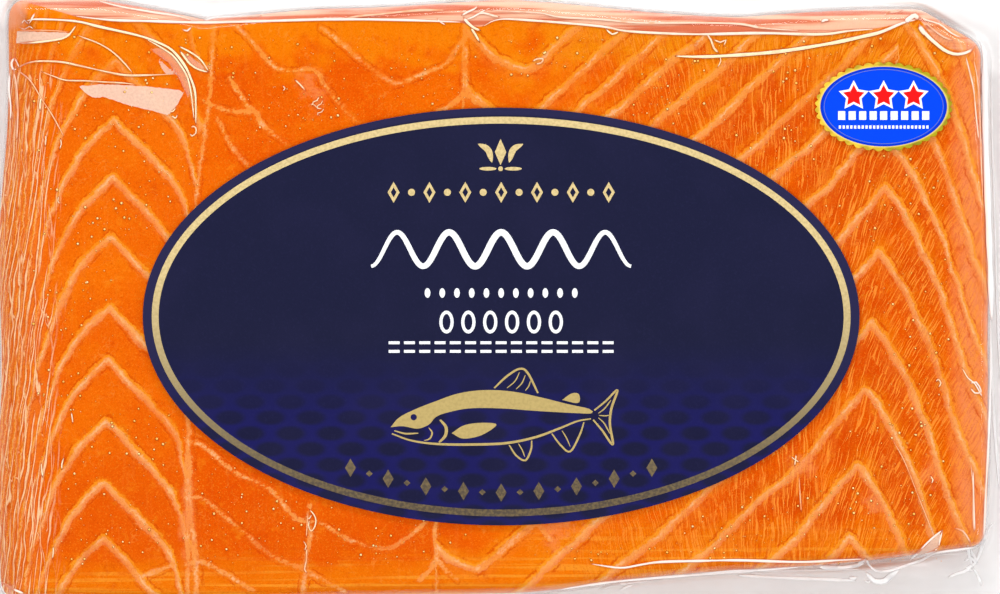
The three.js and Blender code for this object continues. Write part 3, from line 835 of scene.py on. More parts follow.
def paintSalmon():
    paint = Paint("salmonFlesh")
    place = paint.place()
    x, y, _ = place.split()
    wobble = paint.noise(place, 1200, 4, 0.72) - 0.5
    drift = paint.noise(place, 210, 2) - 0.5
    left, right = paint.attribute("leftBand"), paint.attribute("rightBand")
    leftWidth, rightWidth = paint.attribute("leftWidth"), paint.attribute("rightWidth")
    pastSeam, pastCentre = paint.attribute("pastSeam"), paint.attribute("pastCentre")
    stroke, rim = paint.attribute("stroke"), paint.attribute("rim")
    isLeft = paint.ramp(pastSeam + wobble, 0.15, -0.15)
    isRight = paint.ramp(pastCentre + wobble, -0.15, 0.15)
    band = paint.pick(isLeft, right, left)
    width = paint.pick(isLeft, rightWidth, leftWidth)
    ragged = band + (wobble * 1.3 + drift * 1.5) / width
    number = paint.maths("ROUND", ragged)
    # above a wall this is more than nothing, below it less, in mm
    off = paint.pick(paint.highest(isLeft, isRight), -9.0, (number - ragged) * width)
    narrow = (paint.ramp(width, 0.4, 6.0) * 0.75 + 0.25) * paint.pick(isLeft, 1.0, 0.95)
    off = off / narrow
    streaks = paint.noise(paint.vector(band * width * 1.7, x * 160, y * 160), 1.0, 2) - 0.5
    single = stroke + wobble * 1.3 + drift * 0.9 + 0.05
    broad = paint.pick(paint.ramp(y, -0.02, -0.03), 1.0, 0.62)  # the near part of the seam is a blotchy band
    seam = paint.lowest(abs(pastSeam + wobble * 1.8 + drift) * broad + 0.1,
                        abs(pastCentre + wobble * 1.6 + drift) + 0.2)
    lone = paint.lowest(single, seam)
    # walls differ in strength along their length, and fade under the creases at the far left corner
    strength = paint.ramp(paint.noise(place, 95, 2), 0.25, 0.6) * 0.5 + 0.5
    creased = paint.ramp(y + drift * 0.01, 0.035, 0.042) * paint.ramp(x, -0.046, -0.054)
    strength = strength * (1 - creased * 0.62)
    core = paint.ramp(off, 0.14, -0.02) * paint.ramp(off, -1.24, -1.02)
    core = paint.highest(core, paint.ramp(lone, 0.52, 0.28)) * strength
    # a pinkish zone below each wall and a yellowish one above, both wider on the right
    under = paint.ramp(off, 0.0, -0.4) * paint.ramp(off, paint.pick(isLeft, -3.2, -2.2), -1.0)
    under = paint.highest(under, paint.ramp(lone, 1.2, 0.5) * 0.4) * paint.pick(isLeft, 0.32, 0.25)
    above = paint.ramp(off, paint.pick(isLeft, 2.8, 1.4), 0.2) * paint.ramp(off, -0.5, 0.1)
    above = above * paint.pick(isLeft, 0.36, 0.3)
    # a thin bright line inside each wall, broken here and there, and dark ones along it
    gaps = paint.noise(place, 380, 2)
    crest = paint.highest(paint.ramp(abs(off + 0.3), 0.24, 0.08), paint.ramp(lone, 0.3, 0.1))
    crest = crest * paint.ramp(gaps, 0.48, 0.6) * strength
    lip = paint.ramp(off, 0.6, 0.35) * paint.ramp(off, -0.1, 0.15) * strength
    shade = paint.highest(paint.ramp(off, 1.05, 0.8) * paint.ramp(off, 0.5, 0.7),
                          paint.ramp(off, -1.85, -1.6) * paint.ramp(off, -1.3, -1.5),
                          paint.ramp(lone, 1.05, 0.85) * paint.ramp(lone, 0.6, 0.8))
    shade = shade * paint.ramp(gaps, 0.42, 0.62)
    # fibres: fine pale hairs, broken at each wall, that lean from \ to / towards the right
    hairs = creases = 0.0
    zones = [(-12, 0.008, 0.024, 0.034, 0.046), (1, 0.034, 0.046, 0.054, 0.061),
             (17, 0.054, 0.061, 0.065, 0.072), (29, 0.065, 0.072, 0.2, 0.3)]
    for degrees, start, full, fade, end in zones:
        lean = math.radians(degrees)
        across = x * math.cos(lean) - y * math.sin(lean)
        along = x * math.sin(lean) + y * math.cos(lean)
        spot = paint.vector(across * 4000 + drift * 5.0, along * 170, number * 3.7 + degrees)
        strand = paint.noise(spot, 1.0, 1, 0.5)
        here = paint.ramp(x, start, full) * paint.ramp(x, end, fade)
        hairs = hairs + paint.ramp(strand, 0.555, 0.62) * here
        creases = creases + paint.ramp(strand, 0.45, 0.37) * here
    hairs = hairs * paint.pick(isLeft, 1.0, 0.0)
    creases = creases * paint.pick(isLeft, 1.0, 0.0)
    faint = paint.noise(paint.vector(x * 1500, y * 120, number * 2.3), 1.0, 2)
    hairs = paint.highest(hairs, paint.ramp(faint, 0.55, 0.75) * 0.22)
    # which part of the fillet this is
    patch = paint.noise(place, 55, 2)
    mottle = paint.noise(place, 420, 4, 0.6)
    cloud = paint.noise(place, 120, 3)
    lateral = paint.ramp(x, 0.018, 0.05) * paint.ramp(x, 0.0825, 0.0735)
    plain = paint.ramp(y, 0.0385, 0.0415)  # no belly lines above this
    sides = paint.highest(paint.ramp(x + drift * 0.006, -0.0765, -0.0815) * (1 - plain),
                          paint.ramp(x + drift * 0.004, 0.0785, 0.0825))
    # the thin belly edge on the left is full of fine pale lines, some of them crossing
    lines = between = 0.0
    for degrees, apart, full in ((8, 0.0009, 0.9), (3, 0.0017, 0.8), (-10, 0.0044, 0.6)):
        lean = math.radians(degrees)
        across = x * math.cos(lean) - y * math.sin(lean)
        along = x * math.sin(lean) + y * math.cos(lean)
        bend = paint.noise(paint.vector(across * 240, along * 48, degrees), 1.0, 3) * 4.4
        toLine = abs(paint.maths("FRACT", across / apart + bend) - 0.5) * (apart / 0.001)
        broken = paint.ramp(paint.noise(paint.vector(across * 900, along * 60, degrees), 1.0, 1), 0.44, 0.54)
        lines = paint.highest(lines, paint.ramp(toLine, 0.16, 0.05) * full * broken)
        between = paint.highest(between, paint.ramp(toLine, 0.36, 0.2) * broken)
    belly = paint.ramp(x + drift * 0.006, -0.0745, -0.0785)
    between = between * belly * (1 - lines) * (1 - plain)
    lines = lines * belly * (1 - plain)
    # yellower towards the far edge and, in streaks, along the near one
    grain = paint.noise(place, 3400, 3, 0.65)
    along = paint.noise(paint.vector(x * 25, y * 1300, 1.0), 1.0, 2)
    farEdge = paint.ramp(y + drift * 0.02 + (cloud - 0.5) * 0.02, 0.0375, 0.0455)
    nearEdge = paint.ramp(y + (along - 0.5) * 0.008 + drift * 0.01 - paint.ramp(x, -0.02, 0.02) * 0.006,
                          -0.0425, -0.0490)
    farTone = paint.blend(paint.ramp(x, 0.0, 0.02), tint(236, 126, 2), tint(232, 138, 10))
    lower = paint.ramp(y + drift * 0.01, -0.024, -0.036) * paint.ramp(x, 0.004, -0.01)
    sideTone = paint.blend(isLeft, tint(236, 144, 92), tint(230, 116, 42))
    curl = abs(paint.noise(place, 620, 1) - 0.5)
    scratches = paint.ramp(curl, 0.022, 0.006) * paint.ramp(paint.noise(place, 230, 2), 0.52, 0.62)
    # walls are yellower at the far edge
    wall = paint.blend(paint.ramp(off, -1.1, -0.2), tint(234, 136, 76), tint(242, 168, 96))
    wall = paint.coats(wall, (paint.ramp(lone, 0.7, 0.45), tint(240, 152, 76)),
                       (paint.ramp(y, 0.022, 0.038) * 0.6, tint(240, 146, 48)))
    blotch = paint.ramp(paint.attribute("blotch") + drift * 1.2 + wobble, 0.15, 0.75)
    # the cut side beyond the far edge, seen through film that stands off it; its paleness is partly painted
    # reflection of the film
    layer = paint.noise(paint.vector(x * 40, y * 900, 0.0), 1.0, 2)
    cutSideAndGlare = paint.blend(paint.ramp(layer, 0.4, 0.6), tint(212, 112, 82), tint(246, 194, 164))
    past = paint.ramp(paint.attribute("pastLip"), -0.08, 0.12)
    past = past * paint.pick(paint.ramp(x, 0.0745, 0.078), 0.92, 0.25)
    roundEnd = paint.ramp(x + drift * 0.003, -0.0808, -0.0822) * paint.ramp(y, 0.0465, 0.0485)
    flesh = paint.blend(paint.ramp(patch, 0.35, 0.68), tint(226, 87, 0), tint(232, 102, 1))
    flesh = paint.coats(
        flesh,
        (paint.ramp(cloud, 0.5, 0.75) * 0.5, tint(233, 112, 2)),
        (isLeft * 0.17, tint(240, 128, 14)),
        (lateral * paint.ramp(cloud, 0.75, 0.4) * 0.9, tint(212, 74, 2)),
        (farEdge * 0.8, farTone),
        (lower * 0.55, tint(219, 78, 2)),
        (nearEdge * 0.75, tint(233, 120, 4)),
        (nearEdge * paint.ramp(along, 0.5, 0.62) * 0.5, tint(242, 164, 50)),
        (sides * 0.75, sideTone),
        (above, tint(238, 140, 10)),
        (under, tint(232, 124, 42)),
        (creases * (0.3 + lateral * 0.2), tint(206, 66, 0)),
        (hairs * (0.5 + lateral * 0.36), tint(246, 147, 52)),
        (scratches * 0.28, tint(244, 156, 62)),
        (shade * 0.7, tint(204, 68, 0)),
        (lip * 0.7, tint(242, 156, 40)),
        (core * (0.85 + streaks * 0.6), wall),
        (crest * 0.65, tint(244, 188, 138)),
        (blotch * paint.ramp(mottle, 0.4, 0.6) * 0.6, tint(237, 138, 80)),
        (between * 0.7, tint(202, 82, 14)),
        (lines * 0.95, tint(252, 214, 168)),
        (paint.ramp(mottle, 0.55, 0.75) * 0.35, tint(238, 142, 24)),
        (paint.ramp(mottle, 0.45, 0.25) * 0.4, tint(206, 66, 1)),
        (paint.ramp(grain, 0.46, 0.28) * 0.42, tint(198, 62, 0)),
        (paint.ramp(grain, 0.54, 0.70) * 0.42, tint(244, 150, 40)),
        (past, cutSideAndGlare),
        (roundEnd * 0.85, tint(236, 150, 108)),
        # painted shadow: a thin dark line along the fish's right edge, where the film meets it
        (paint.ramp(rim, 0.62, 0.42) * paint.ramp(x, 0.075, 0.08) * 0.8, tint(150, 62, 34)),
    )
    relief = core * 0.15 + mottle * 0.2 - hairs * 0.1
    surface = paint.principled({
        "Base Color": flesh, "Roughness": 0.6, "Specular IOR Level": 0.03,
        "Subsurface Weight": 0.06, "Subsurface Radius": (1.0, 0.35, 0.12), "Subsurface Scale": 0.0006,
        "Normal": paint.bump(relief, 0.0004, 0.5),
    })
    return paint.finish(surface)


# oil drops between fish and film

drops = {
    "spanX": (-80, 82), "spanY": (-46, 47), "step": 4, "below": 0.05,
    "perSquareMetre": 310000, "size": (0.09, 0.34), "seed": 11,
    # ovals round label and sticker where none lie: middle and half sizes
    "clear": [(1.4, -2.9, 65.3, 39.3), (67.9, 33.6, 15, 11)],
}


def makeDrops(material):
    # a coarse sheet just under the film, with how thickly the drops lie
    x, y = np.meshgrid(*(np.arange(*drops[span], drops["step"], float) for span in ("spanX", "spanY")))
    index = np.arange(x.size).reshape(x.shape)
    faces = np.stack([index[:-1, :-1], index[:-1, 1:], index[1:, 1:], index[1:, :-1]], -1).reshape(-1, 4)
    z = filmTop(x, y) - drops["below"]
    host = makeMesh("dropSheet", np.dstack([x, y, z]).reshape(-1, 3), faces.tolist())
    crowd = np.clip(0.3 + 1.5 * swell(x, y, 11, 5), 0.05, 3)
    for middleX, middleY, halfLength, halfWidth in drops["clear"]:
        within = np.hypot((x - middleX) / halfLength, (y - middleY) / halfWidth) < 1
        crowd = np.where(within, 0, crowd)
    setAttribute(host, "crowd", crowd.ravel())

    tree = bpy.data.node_groups.new("scatterDrops", "GeometryNodeTree")
    face = tree.interface
    face.new_socket("Geometry", in_out="INPUT", socket_type="NodeSocketGeometry")
    sockets = {name: face.new_socket(name, in_out="INPUT", socket_type=kind).identifier
               for name, kind in (("Density", "NodeSocketFloat"), ("Smallest", "NodeSocketFloat"),
                                  ("Largest", "NodeSocketFloat"), ("Seed", "NodeSocketInt"),
                                  ("Material", "NodeSocketMaterial"))}
    face.new_socket("Geometry", in_out="OUTPUT", socket_type="NodeSocketGeometry")

    def node(kind, settings, inputs):
        return addNode(tree, kind, settings, inputs)

    start = node("NodeGroupInput", {}, {}).outputs
    crowdField = node("GeometryNodeInputNamedAttribute", {"data_type": "FLOAT"}, {"Name": "crowd"})
    density = node("ShaderNodeMath", {"operation": "MULTIPLY"},
                   {0: start["Density"], 1: crowdField.outputs["Attribute"]})
    points = node("GeometryNodeDistributePointsOnFaces", {},
                  {"Mesh": start["Geometry"], "Density": density.outputs[0], "Seed": start["Seed"]})
    ball = node("GeometryNodeMeshIcoSphere", {}, {"Radius": mm, "Subdivisions": 1})
    share = node("FunctionNodeRandomValue", {"data_type": "FLOAT"}, {"Seed": start["Seed"]})
    skewed = node("ShaderNodeMath", {"operation": "POWER"}, {0: share.outputs["Value"], 1: 3.5})
    size = node("ShaderNodeMapRange", {}, {0: skewed.outputs[0], 3: start["Smallest"], 4: start["Largest"]})
    flat = node("ShaderNodeVectorMath", {"operation": "SCALE"}, {0: (1, 1, 0.45), "Scale": size.outputs[0]})
    placed = node("GeometryNodeInstanceOnPoints", {},
                  {"Points": points.outputs["Points"], "Instance": ball.outputs["Mesh"],
                   "Scale": flat.outputs[0]})
    real = node("GeometryNodeRealizeInstances", {}, {"Geometry": placed.outputs["Instances"]})
    dressed = node("GeometryNodeSetMaterial", {},
                   {"Geometry": real.outputs["Geometry"], "Material": start["Material"]})
    node("NodeGroupOutput", {}, {0: dressed.outputs["Geometry"]})

    modifier = host.modifiers.new("scatter", "NODES")
    modifier.node_group = tree
    smallest, largest = drops["size"]
    for name, value in (("Density", drops["perSquareMetre"]), ("Smallest", smallest), ("Largest", largest),
                        ("Seed", drops["seed"]), ("Material", material)):
        modifier[sockets[name]] = value
    evaluated = host.evaluated_get(bpy.context.evaluated_depsgraph_get())
    mesh = bpy.data.meshes.new_from_object(evaluated)
    host.modifiers.remove(modifier)
    bpy.data.objects.remove(host)
    mesh.polygons.foreach_set("use_smooth", [True] * len(mesh.polygons))
    piece = bpy.data.objects.new("oilDrops", mesh)
    bpy.context.scene.collection.objects.link(piece)
    return piece


def paintDrops():
    paint = Paint("oilDropGlint")
    place = paint.place()
    glintTone = paint.ramp(paint.noise(place, 400, 2), 0.35, 0.65)
    facing = paint.wire("ShaderNodeLayerWeight", {}, {"Blend": 0.5}, "Facing")
    # painted highlight: the pale yellow middles stand in for the glint on each drop, and the dark rim, by how
    # steeply it is seen, is painted shade
    colour = paint.blend(glintTone, tint(252, 190, 80), tint(255, 226, 150))
    colour = paint.blend(paint.ramp(facing, 0.16, 0.42), colour, tint(176, 70, 8))
    return paint.finish(paint.principled({"Base Color": colour, "Roughness": 0.2, "Specular IOR Level": 0.4}))


def paintFilm():
    paint = Paint("clearFilm")
    place = paint.place()
    x, y, _ = place.split()
    outside = paint.attribute("outside")
    crumple = paint.noise(place, 170, 3, 0.5)
    crinkle = paint.ramp(outside, -5.0, 1.5)
    normal = paint.bump(crumple * (0.12 + 0.88 * crinkle), 0.0011, 0.5)
    seal = paint.ramp(outside, 8.8, 9.4)
    ribs = paint.ramp(paint.maths("SINE", (x + y) * 6000), -0.2, 0.6)
    edgeSoft = paint.noise(place, 900, 2) - 0.5
    clouded = paint.noise(place, 2400, 3, 0.7)
    # painted glare: the listed patches are made whitish haze, in place of the lamp's reflection on the film
    patch = paint.ramp(paint.attribute("within") + edgeSoft * 0.4, -0.06, 0.04) * paint.attribute("white")
    patch = patch * (0.64 + 0.48 * clouded)
    gloss = paint.wire("ShaderNodeBsdfGlossy", {},
                       {"Color": (1, 1, 1, 1), "Roughness": 0.09, "Normal": normal})
    # the haze is near white off the fish and peach over it, where it is the painted glare
    hazeAndGlareTint = paint.blend(paint.ramp(outside, 0.5, -0.5), (0.965, 0.955, 0.95, 1), (0.97, 0.70, 0.53, 1))
    haze = paint.principled({"Base Color": hazeAndGlareTint, "Roughness": 1.0, "Specular IOR Level": 0.0})
    clear = paint.wire("ShaderNodeBsdfTransparent", {}, {"Color": (0.99, 0.99, 0.99, 1)})
    # the same from inside and outside, so that light gets through the upper sheet
    facing = paint.wire("ShaderNodeLayerWeight", {}, {"Blend": 0.5, "Normal": normal}, "Facing")
    mirror = 0.02 + 0.9 * facing ** 5
    # milky haze beyond the fish's edge, partly the film's own haze; beyond the far edge and its cut corner it
    # is milkier still, a painted glare where the film stands steep
    beyond = paint.ramp(y + paint.ramp(x, 0.072, 0.090) * 0.009, 0.047, 0.050)
    milky = paint.ramp(outside, 0.0, 1.0) * (paint.pick(paint.noise(place, 50, 3), 0.35, 0.75) + beyond * 0.3)
    cloudy = paint.highest(milky, seal * (0.2 + 0.25 * ribs), patch)
    sheet = paint.wire("ShaderNodeMixShader", {}, {0: cloudy, 1: clear, 2: haze})
    return paint.finish(paint.wire("ShaderNodeMixShader", {}, {0: mirror, 1: sheet, 2: gloss}))


# label and sticker

def makePrint(name, layers, low, high):
    # thin closed plates of ink; the outlines of one layer cut holes in each other
    points, faces = [], []
    for outlines in layers:
        curve = bpy.data.curves.new(name, "CURVE")
        curve.dimensions = "2D"
        curve.fill_mode = "BOTH"
        curve.extrude = (high - low) / 2
        for outline in outlines:
            spline = curve.splines.new("POLY")
            spline.points.add(len(outline) - 1)
            spline.use_cyclic_u = True
            for point, (x, y) in zip(spline.points, outline):
                point.co = (x, y, 0, 1)
        holder = bpy.data.objects.new(name, curve)
        bpy.context.scene.collection.objects.link(holder)
        mesh = bpy.data.meshes.new_from_object(holder.evaluated_get(bpy.context.evaluated_depsgraph_get()))
        start = len(points)
        points += [(v.co.x, v.co.y, v.co.z + (low + high) / 2) for v in mesh.vertices]
        faces += [[start + i for i in polygon.vertices] for polygon in mesh.polygons]
        bpy.data.objects.remove(holder)
    piece = makeMesh(name, points, faces, False)
    shape = bmesh.new()
    shape.from_mesh(piece.data)
    bmesh.ops.remove_doubles(shape, verts=shape.verts, dist=1e-6)
    bmesh.ops.recalc_face_normals(shape, faces=shape.faces)
    shape.to_mesh(piece.data)
    shape.free()
    return piece


def oval(x, y, halfLength, halfWidth, count=48, start=0.0):
    turn = start + np.arange(count) * 2 * math.pi / count
    return list(zip(x + halfLength * np.cos(turn), y + halfWidth * np.sin(turn)))


def lozenge(x, y, halfLength, halfWidth):
    return oval(x, y, halfLength, halfWidth, 4)


def star(x, y, outer, inner, points=5):
    turn = math.pi / 2 + np.arange(2 * points) * math.pi / points
    reach = np.where(np.arange(2 * points) % 2 == 0, outer, inner)
    return list(zip(x + reach * np.cos(turn), y + reach * np.sin(turn)))


def bar(x, y, halfLength, halfWidth):
    return [(x - halfLength, y - halfWidth), (x + halfLength, y - halfWidth),
            (x + halfLength, y + halfWidth), (x - halfLength, y + halfWidth)]


def ribbon(path, width, taper=0.0, spacing=0.35):
    # a stroke along a path, thinner towards its ends by taper
    line = smoothPath(path, spacing)
    heading = np.gradient(line, axis=0)
    heading /= np.linalg.norm(heading, axis=1)[:, None]
    t = np.linspace(-1, 1, len(line))
    half = width / 2 * (1 - taper * abs(t) ** 2.5)[:, None]
    side = np.column_stack([-heading[:, 1], heading[:, 0]]) * half
    return np.vstack([line + side, (line - side)[::-1]]).tolist()


def shifted(outline, x, y, squat=1.0):
    return [(px + x, py * squat + y) for px, py in outline]


labelForm = {"x": 1.4, "y": -2.9, "halfLength": 62.3, "halfWidth": 36.3}
stickerForm = {"x": 67.9, "y": 33.6, "halfLength": 11.05, "halfWidth": 6.95}
ink = {"label": (18.29, 18.33), "sticker": (18.29, 18.33), "over": (18.32, 18.35)}

labelPrint = {
    "ring": (1.55, 1.2),  # gap to the label's edge, width
    "ornament": (1.3, 25.4),
    "goldRow": {"y": 18.7, "halfLength": 18.7, "count": 13, "height": 3.65},
    "wave": {"y": 8.8, "halfLength": 22.6, "height": 5.9, "stroke": 1.15, "crests": 5},
    "dotRow": {"y": 1.2, "halfLength": 12.8, "count": 11, "height": 2.0},
    "leafRow": {"y": -3.85, "halfLength": 9.5, "count": 6, "height": 4.0},
    "dashRow": {"y": -8.2, "halfLength": 18.6, "count": 15, "height": 1.0},
    "fish": (1.4, -20.5),
    "lowRow": {"y": 27.6, "halfLength": 26.2, "rise": 4.3, "count": 17, "height": 3.2},
}

# A generic fish seen from its left side, in mm from its middle.
fish = {
    "back": [(-19.2, -1.9), (-17.8, 0.0), (-15.0, 1.7), (-11.5, 3.3), (-7.5, 4.9), (-3.0, 5.6), (2.0, 5.3),
             (7.0, 4.1), (11.5, 2.8), (15.3, 1.8), (15.7, 0.9), (12.0, 1.0), (6.0, 1.4), (0.0, 1.9),
             (-5.5, 1.9), (-9.2, 1.1), (-11.3, 0.2), (-12.6, -1.4), (-14.6, -2.2), (-17.0, -1.7)],
    "eye": (-15.2, 0.1, 0.55),
    "squat": 0.86,
    "strokes": [  # width, taper, path
        (0.50, 0.5, [(-19.0, -3.2), (-15.6, -4.6), (-11.0, -5.3), (-5.0, -5.4), (1.0, -5.1), (6.0, -3.9),
                     (10.0, -2.2), (13.2, -0.7), (15.6, -0.2)]),
        (0.55, 0.4, [(-10.6, -0.4), (-9.6, -1.9), (-9.7, -3.6), (-10.8, -5.0)]),
        (0.30, 0.6, [(-12.6, -2.0), (-12.0, -3.0), (-12.4, -4.2), (-13.4, -4.6)]),
        (0.34, 0.5, [(-18.6, -2.6), (-16.6, -3.2), (-14.4, -3.1)]),
        (0.42, 0.3, [(-1.2, 6.0), (1.0, 8.4), (3.2, 9.9), (4.6, 9.1), (6.4, 5.0)]),
        (0.22, 0.5, [(1.0, 6.0), (2.4, 7.4), (3.2, 9.2)]),
        (0.22, 0.5, [(2.6, 5.8), (3.6, 7.0), (4.2, 8.6)]),
        (0.22, 0.5, [(4.2, 5.5), (4.8, 6.4), (5.1, 7.5)]),
        (0.42, 0.3, [(16.2, 1.5), (18.2, 3.4), (20.2, 5.6), (19.2, 2.0), (18.9, -1.2), (19.4, -5.4),
                     (17.6, -2.6), (16.0, -0.4)]),
        (0.24, 0.5, [(16.9, 0.9), (18.0, 1.9), (19.1, 3.6)]),
        (0.24, 0.5, [(17.0, 0.5), (18.0, 0.4), (18.8, 0.5)]),
        (0.24, 0.5, [(16.9, 0.0), (17.9, -1.1), (18.9, -3.2)]),
        (0.36, 0.4, [(1.4, -5.5), (2.6, -7.6), (4.2, -8.6), (5.2, -6.4), (5.3, -4.6)]),
        (0.22, 0.5, [(3.0, -5.2), (3.7, -6.6), (4.1, -7.9)]),
        (0.36, 0.4, [(8.8, -3.2), (10.4, -5.6), (12.0, -6.8), (13.6, -3.6), (14.4, -0.9)]),
        (0.22, 0.5, [(10.6, -2.6), (11.4, -4.2), (12.0, -5.8)]),
    ],
    "flank": [(-8.6, -3.1), (-6.4, -1.5), (-3.2, -1.0), (-0.8, -1.4), (-3.4, -3.5), (-6.6, -4.2)],
    "adipose": [(10.6, 3.6), (12.2, 4.9), (13.5, 4.8), (13.4, 3.0)],
}


def spread(row):
    return np.linspace(-row["halfLength"], row["halfLength"], row["count"])


def makeLabelPrint():
    x0, y0 = labelForm["x"], labelForm["y"]
    gap, width = labelPrint["ring"]
    ring = [oval(x0, y0, labelForm["halfLength"] - inset, labelForm["halfWidth"] - inset, 200)
            for inset in (gap, gap + width)]
    row = labelPrint["goldRow"]
    gold = [ring]
    for i, x in enumerate(spread(row)):
        if i % 2:
            gold.append([oval(x0 + x, row["y"], 0.62, 0.62, 16)])
        else:
            gold.append([lozenge(x0 + x, row["y"], 1.05, row["height"] / 2),
                         lozenge(x0 + x, row["y"], 0.5, row["height"] / 2 - 0.95)])
    x, y = labelPrint["ornament"]
    gold.append([lozenge(x, y + 0.3, 1.0, 2.3)])
    for side in (-1, 1):
        leaf = [(x + side * 1.5, y - 1.5), (x + side * 2.2, y + 0.7), (x + side * 3.9, y + 1.7)]
        gold.append([ribbon(leaf, 1.1, 0.9)])
        gold.append([oval(x + side * 2.2, y - 2.6, 1.5, 0.32, 20)])
    gold.append([oval(x, y - 2.6, 0.42, 0.42, 12)])
    row = labelPrint["lowRow"]
    for i, along in enumerate(spread(row)):
        lift = row["rise"] * (along / row["halfLength"]) ** 2
        tall = row["height"] / 2 if i % 2 == 0 else 0.55
        gold.append([lozenge(x0 + along, y0 - row["y"] + lift - 3.0, 0.95 if i % 2 == 0 else 0.6, tall)])
    fx, fy = labelPrint["fish"]
    ex, ey, er = fish["eye"]
    squat = fish["squat"]
    back = smoothPath(fish["back"] + fish["back"][:1], 0.5)[:-1].tolist()
    gold.append([shifted(back, fx, fy, squat), oval(fx + ex, fy + ey, er, er, 14)])
    for stroke, taper, path in fish["strokes"]:
        gold.append([shifted(ribbon(path, stroke, taper), fx, fy, squat)])
    for part in ("flank", "adipose"):
        outline = smoothPath(fish[part] + fish[part][:1], 0.4)[:-1].tolist()
        gold.append([shifted(outline, fx, fy, squat)])
    white = []
    row = labelPrint["wave"]
    t = np.linspace(0, 1, 24 * row["crests"] + 1)
    line = np.column_stack([x0 + row["halfLength"] * (2 * t - 1),
                            row["y"] - row["height"] / 2 * np.cos(2 * math.pi * row["crests"] * t)])
    white.append([ribbon(line, row["stroke"], 0.5, 5)])
    row = labelPrint["dotRow"]
    white += [[oval(x0 + x, row["y"], 0.5, row["height"] / 2 - 0.15, 14)] for x in spread(row)]
    row = labelPrint["leafRow"]
    white += [[oval(x0 + x, row["y"], 1.25, row["height"] / 2, 20),
               oval(x0 + x, row["y"], 0.7, row["height"] / 2 - 0.6, 20)] for x in spread(row)]
    row = labelPrint["dashRow"]
    white += [[bar(x0 + x, row["y"] + side * 0.75, 0.95, row["height"] / 4)]
              for x in spread(row) for side in (-1, 1)]
    return makePrint("labelGold", gold, *ink["label"]), makePrint("labelWhite", white, *ink["label"])


stickerPrint = {
    "ring": (10.4, 6.5, 0.1),
    "stars": {"y": 1.85, "apart": 5.2, "outer": 1.95, "inner": 1.0, "edge": 0.42},
    "dashes": {"y": -1.55, "halfLength": 7.3, "count": 9},
    "line": {"y": -3.55, "halfLength": 7.6, "count": 24},
}


def makeStickerPrint():
    x0, y0 = stickerForm["x"], stickerForm["y"]
    white, red, ring = [], [], []
    stars = stickerPrint["stars"]
    for side in (-1, 0, 1):
        x, y = x0 + side * stars["apart"], y0 + stars["y"]
        white.append([star(x, y, stars["outer"] + stars["edge"] * 1.9, stars["inner"] + stars["edge"])])
        red.append([star(x, y, stars["outer"], stars["inner"])])
    row = stickerPrint["dashes"]
    white += [[bar(x0 + x, y0 + row["y"], 0.62, 0.75)] for x in spread(row)]
    row = stickerPrint["line"]
    white += [[bar(x0 + x, y0 + row["y"], 0.2, 0.28)] for x in spread(row)]
    halfLength, halfWidth, width = stickerPrint["ring"]
    ring.append([oval(x0, y0, halfLength - inset, halfWidth - inset, 90) for inset in (0, width)])
    return (makePrint("stickerWhite", white, *ink["sticker"]), makePrint("stickerRed", red, *ink["over"]),
            makePrint("stickerRing", ring, *ink["sticker"]))


def paintLabel():
    paint = Paint("labelNavy")
    place = paint.place()
    x, y, _ = place.split()
    offX = (x * 1000 - labelForm["x"]) / labelForm["halfLength"]
    offY = (y * 1000 - labelForm["y"]) / labelForm["halfWidth"]
    far = paint.reach(offX, offY)
    x, y = x * 1000, y * 1000
    # rows of scales that come in towards the lower half
    pitchX, pitchY = 7.04, 2.73
    row = paint.maths("FLOOR", y / pitchY)
    odd = paint.maths("FLOORED_MODULO", row, 2.0)
    inX = (paint.maths("FLOORED_MODULO", x / pitchX + odd * 0.5, 1.0) - 0.5) * pitchX
    inY = (paint.maths("FLOORED_MODULO", y / pitchY, 1.0) - 0.5) * pitchY
    away = paint.reach(inX / 2.6, inY / 1.3)
    scale = paint.ramp(away, 1.25, 0.65)
    low = paint.ramp(y, -6.0, -24.0)
    grain = paint.noise(place, 2600, 2)
    soft = paint.noise(place, 90, 2)
    navy = paint.coats(
        paint.blend(low, tint(22, 24, 54), tint(19, 18, 84)),
        (scale * low * 0.85, tint(20, 21, 46)),
        (paint.ramp(far, 0.955, 0.975) * paint.pick(low, 0.8, 0.15), tint(38, 36, 74)),
        (paint.ramp(grain, 0.5, 0.8) * 0.10, tint(52, 52, 100)),
        (paint.ramp(soft, 0.4, 0.7) * 0.15, tint(36, 34, 72)),
    )
    surface = paint.principled({"Base Color": navy, "Roughness": 0.45, "Specular IOR Level": 0.25,
                                "Normal": paint.bump(grain, 0.00006, 0.2)})
    return paint.finish(surface)


def paintGold():
    paint = Paint("goldInk")
    place = paint.place()
    x, y, _ = place.split()
    grain = paint.noise(place, 1800, 3)
    # painted reflection: the gold foil is painted dim towards the label's lower edge and bright towards its
    # top
    bright = paint.ramp(y, -0.036, 0.012)
    gold = paint.blend(bright, tint(84, 73, 62), tint(228, 204, 146))
    # the fish is brighter than the rest of the lower half
    fishX, fishY = labelPrint["fish"]
    near = paint.reach((x * 1000 - fishX) / 26, (y * 1000 - fishY) / 11)
    gold = paint.blend(paint.ramp(near, 1.0, 0.85), gold, tint(196, 172, 108))
    gold = paint.blend(paint.ramp(grain, 0.35, 0.7) * 0.35, gold, tint(160, 136, 84))
    surface = paint.principled({"Base Color": gold, "Roughness": 0.42, "Metallic": 0.1,
                                "Specular IOR Level": 0.35, "Normal": paint.bump(grain, 0.00005, 0.3)})
    return paint.finish(surface)


def paintInk(name, colour, worn):
    paint = Paint(name)
    place = paint.place()
    grain = paint.noise(place, 1500, 3)
    shade = paint.blend(paint.ramp(grain, 0.45, 0.8) * 0.4, colour, worn)
    surface = paint.principled({"Base Color": shade, "Roughness": 0.4, "Specular IOR Level": 0.3,
                                "Normal": paint.bump(grain, 0.00004, 0.3)})
    return paint.finish(surface)


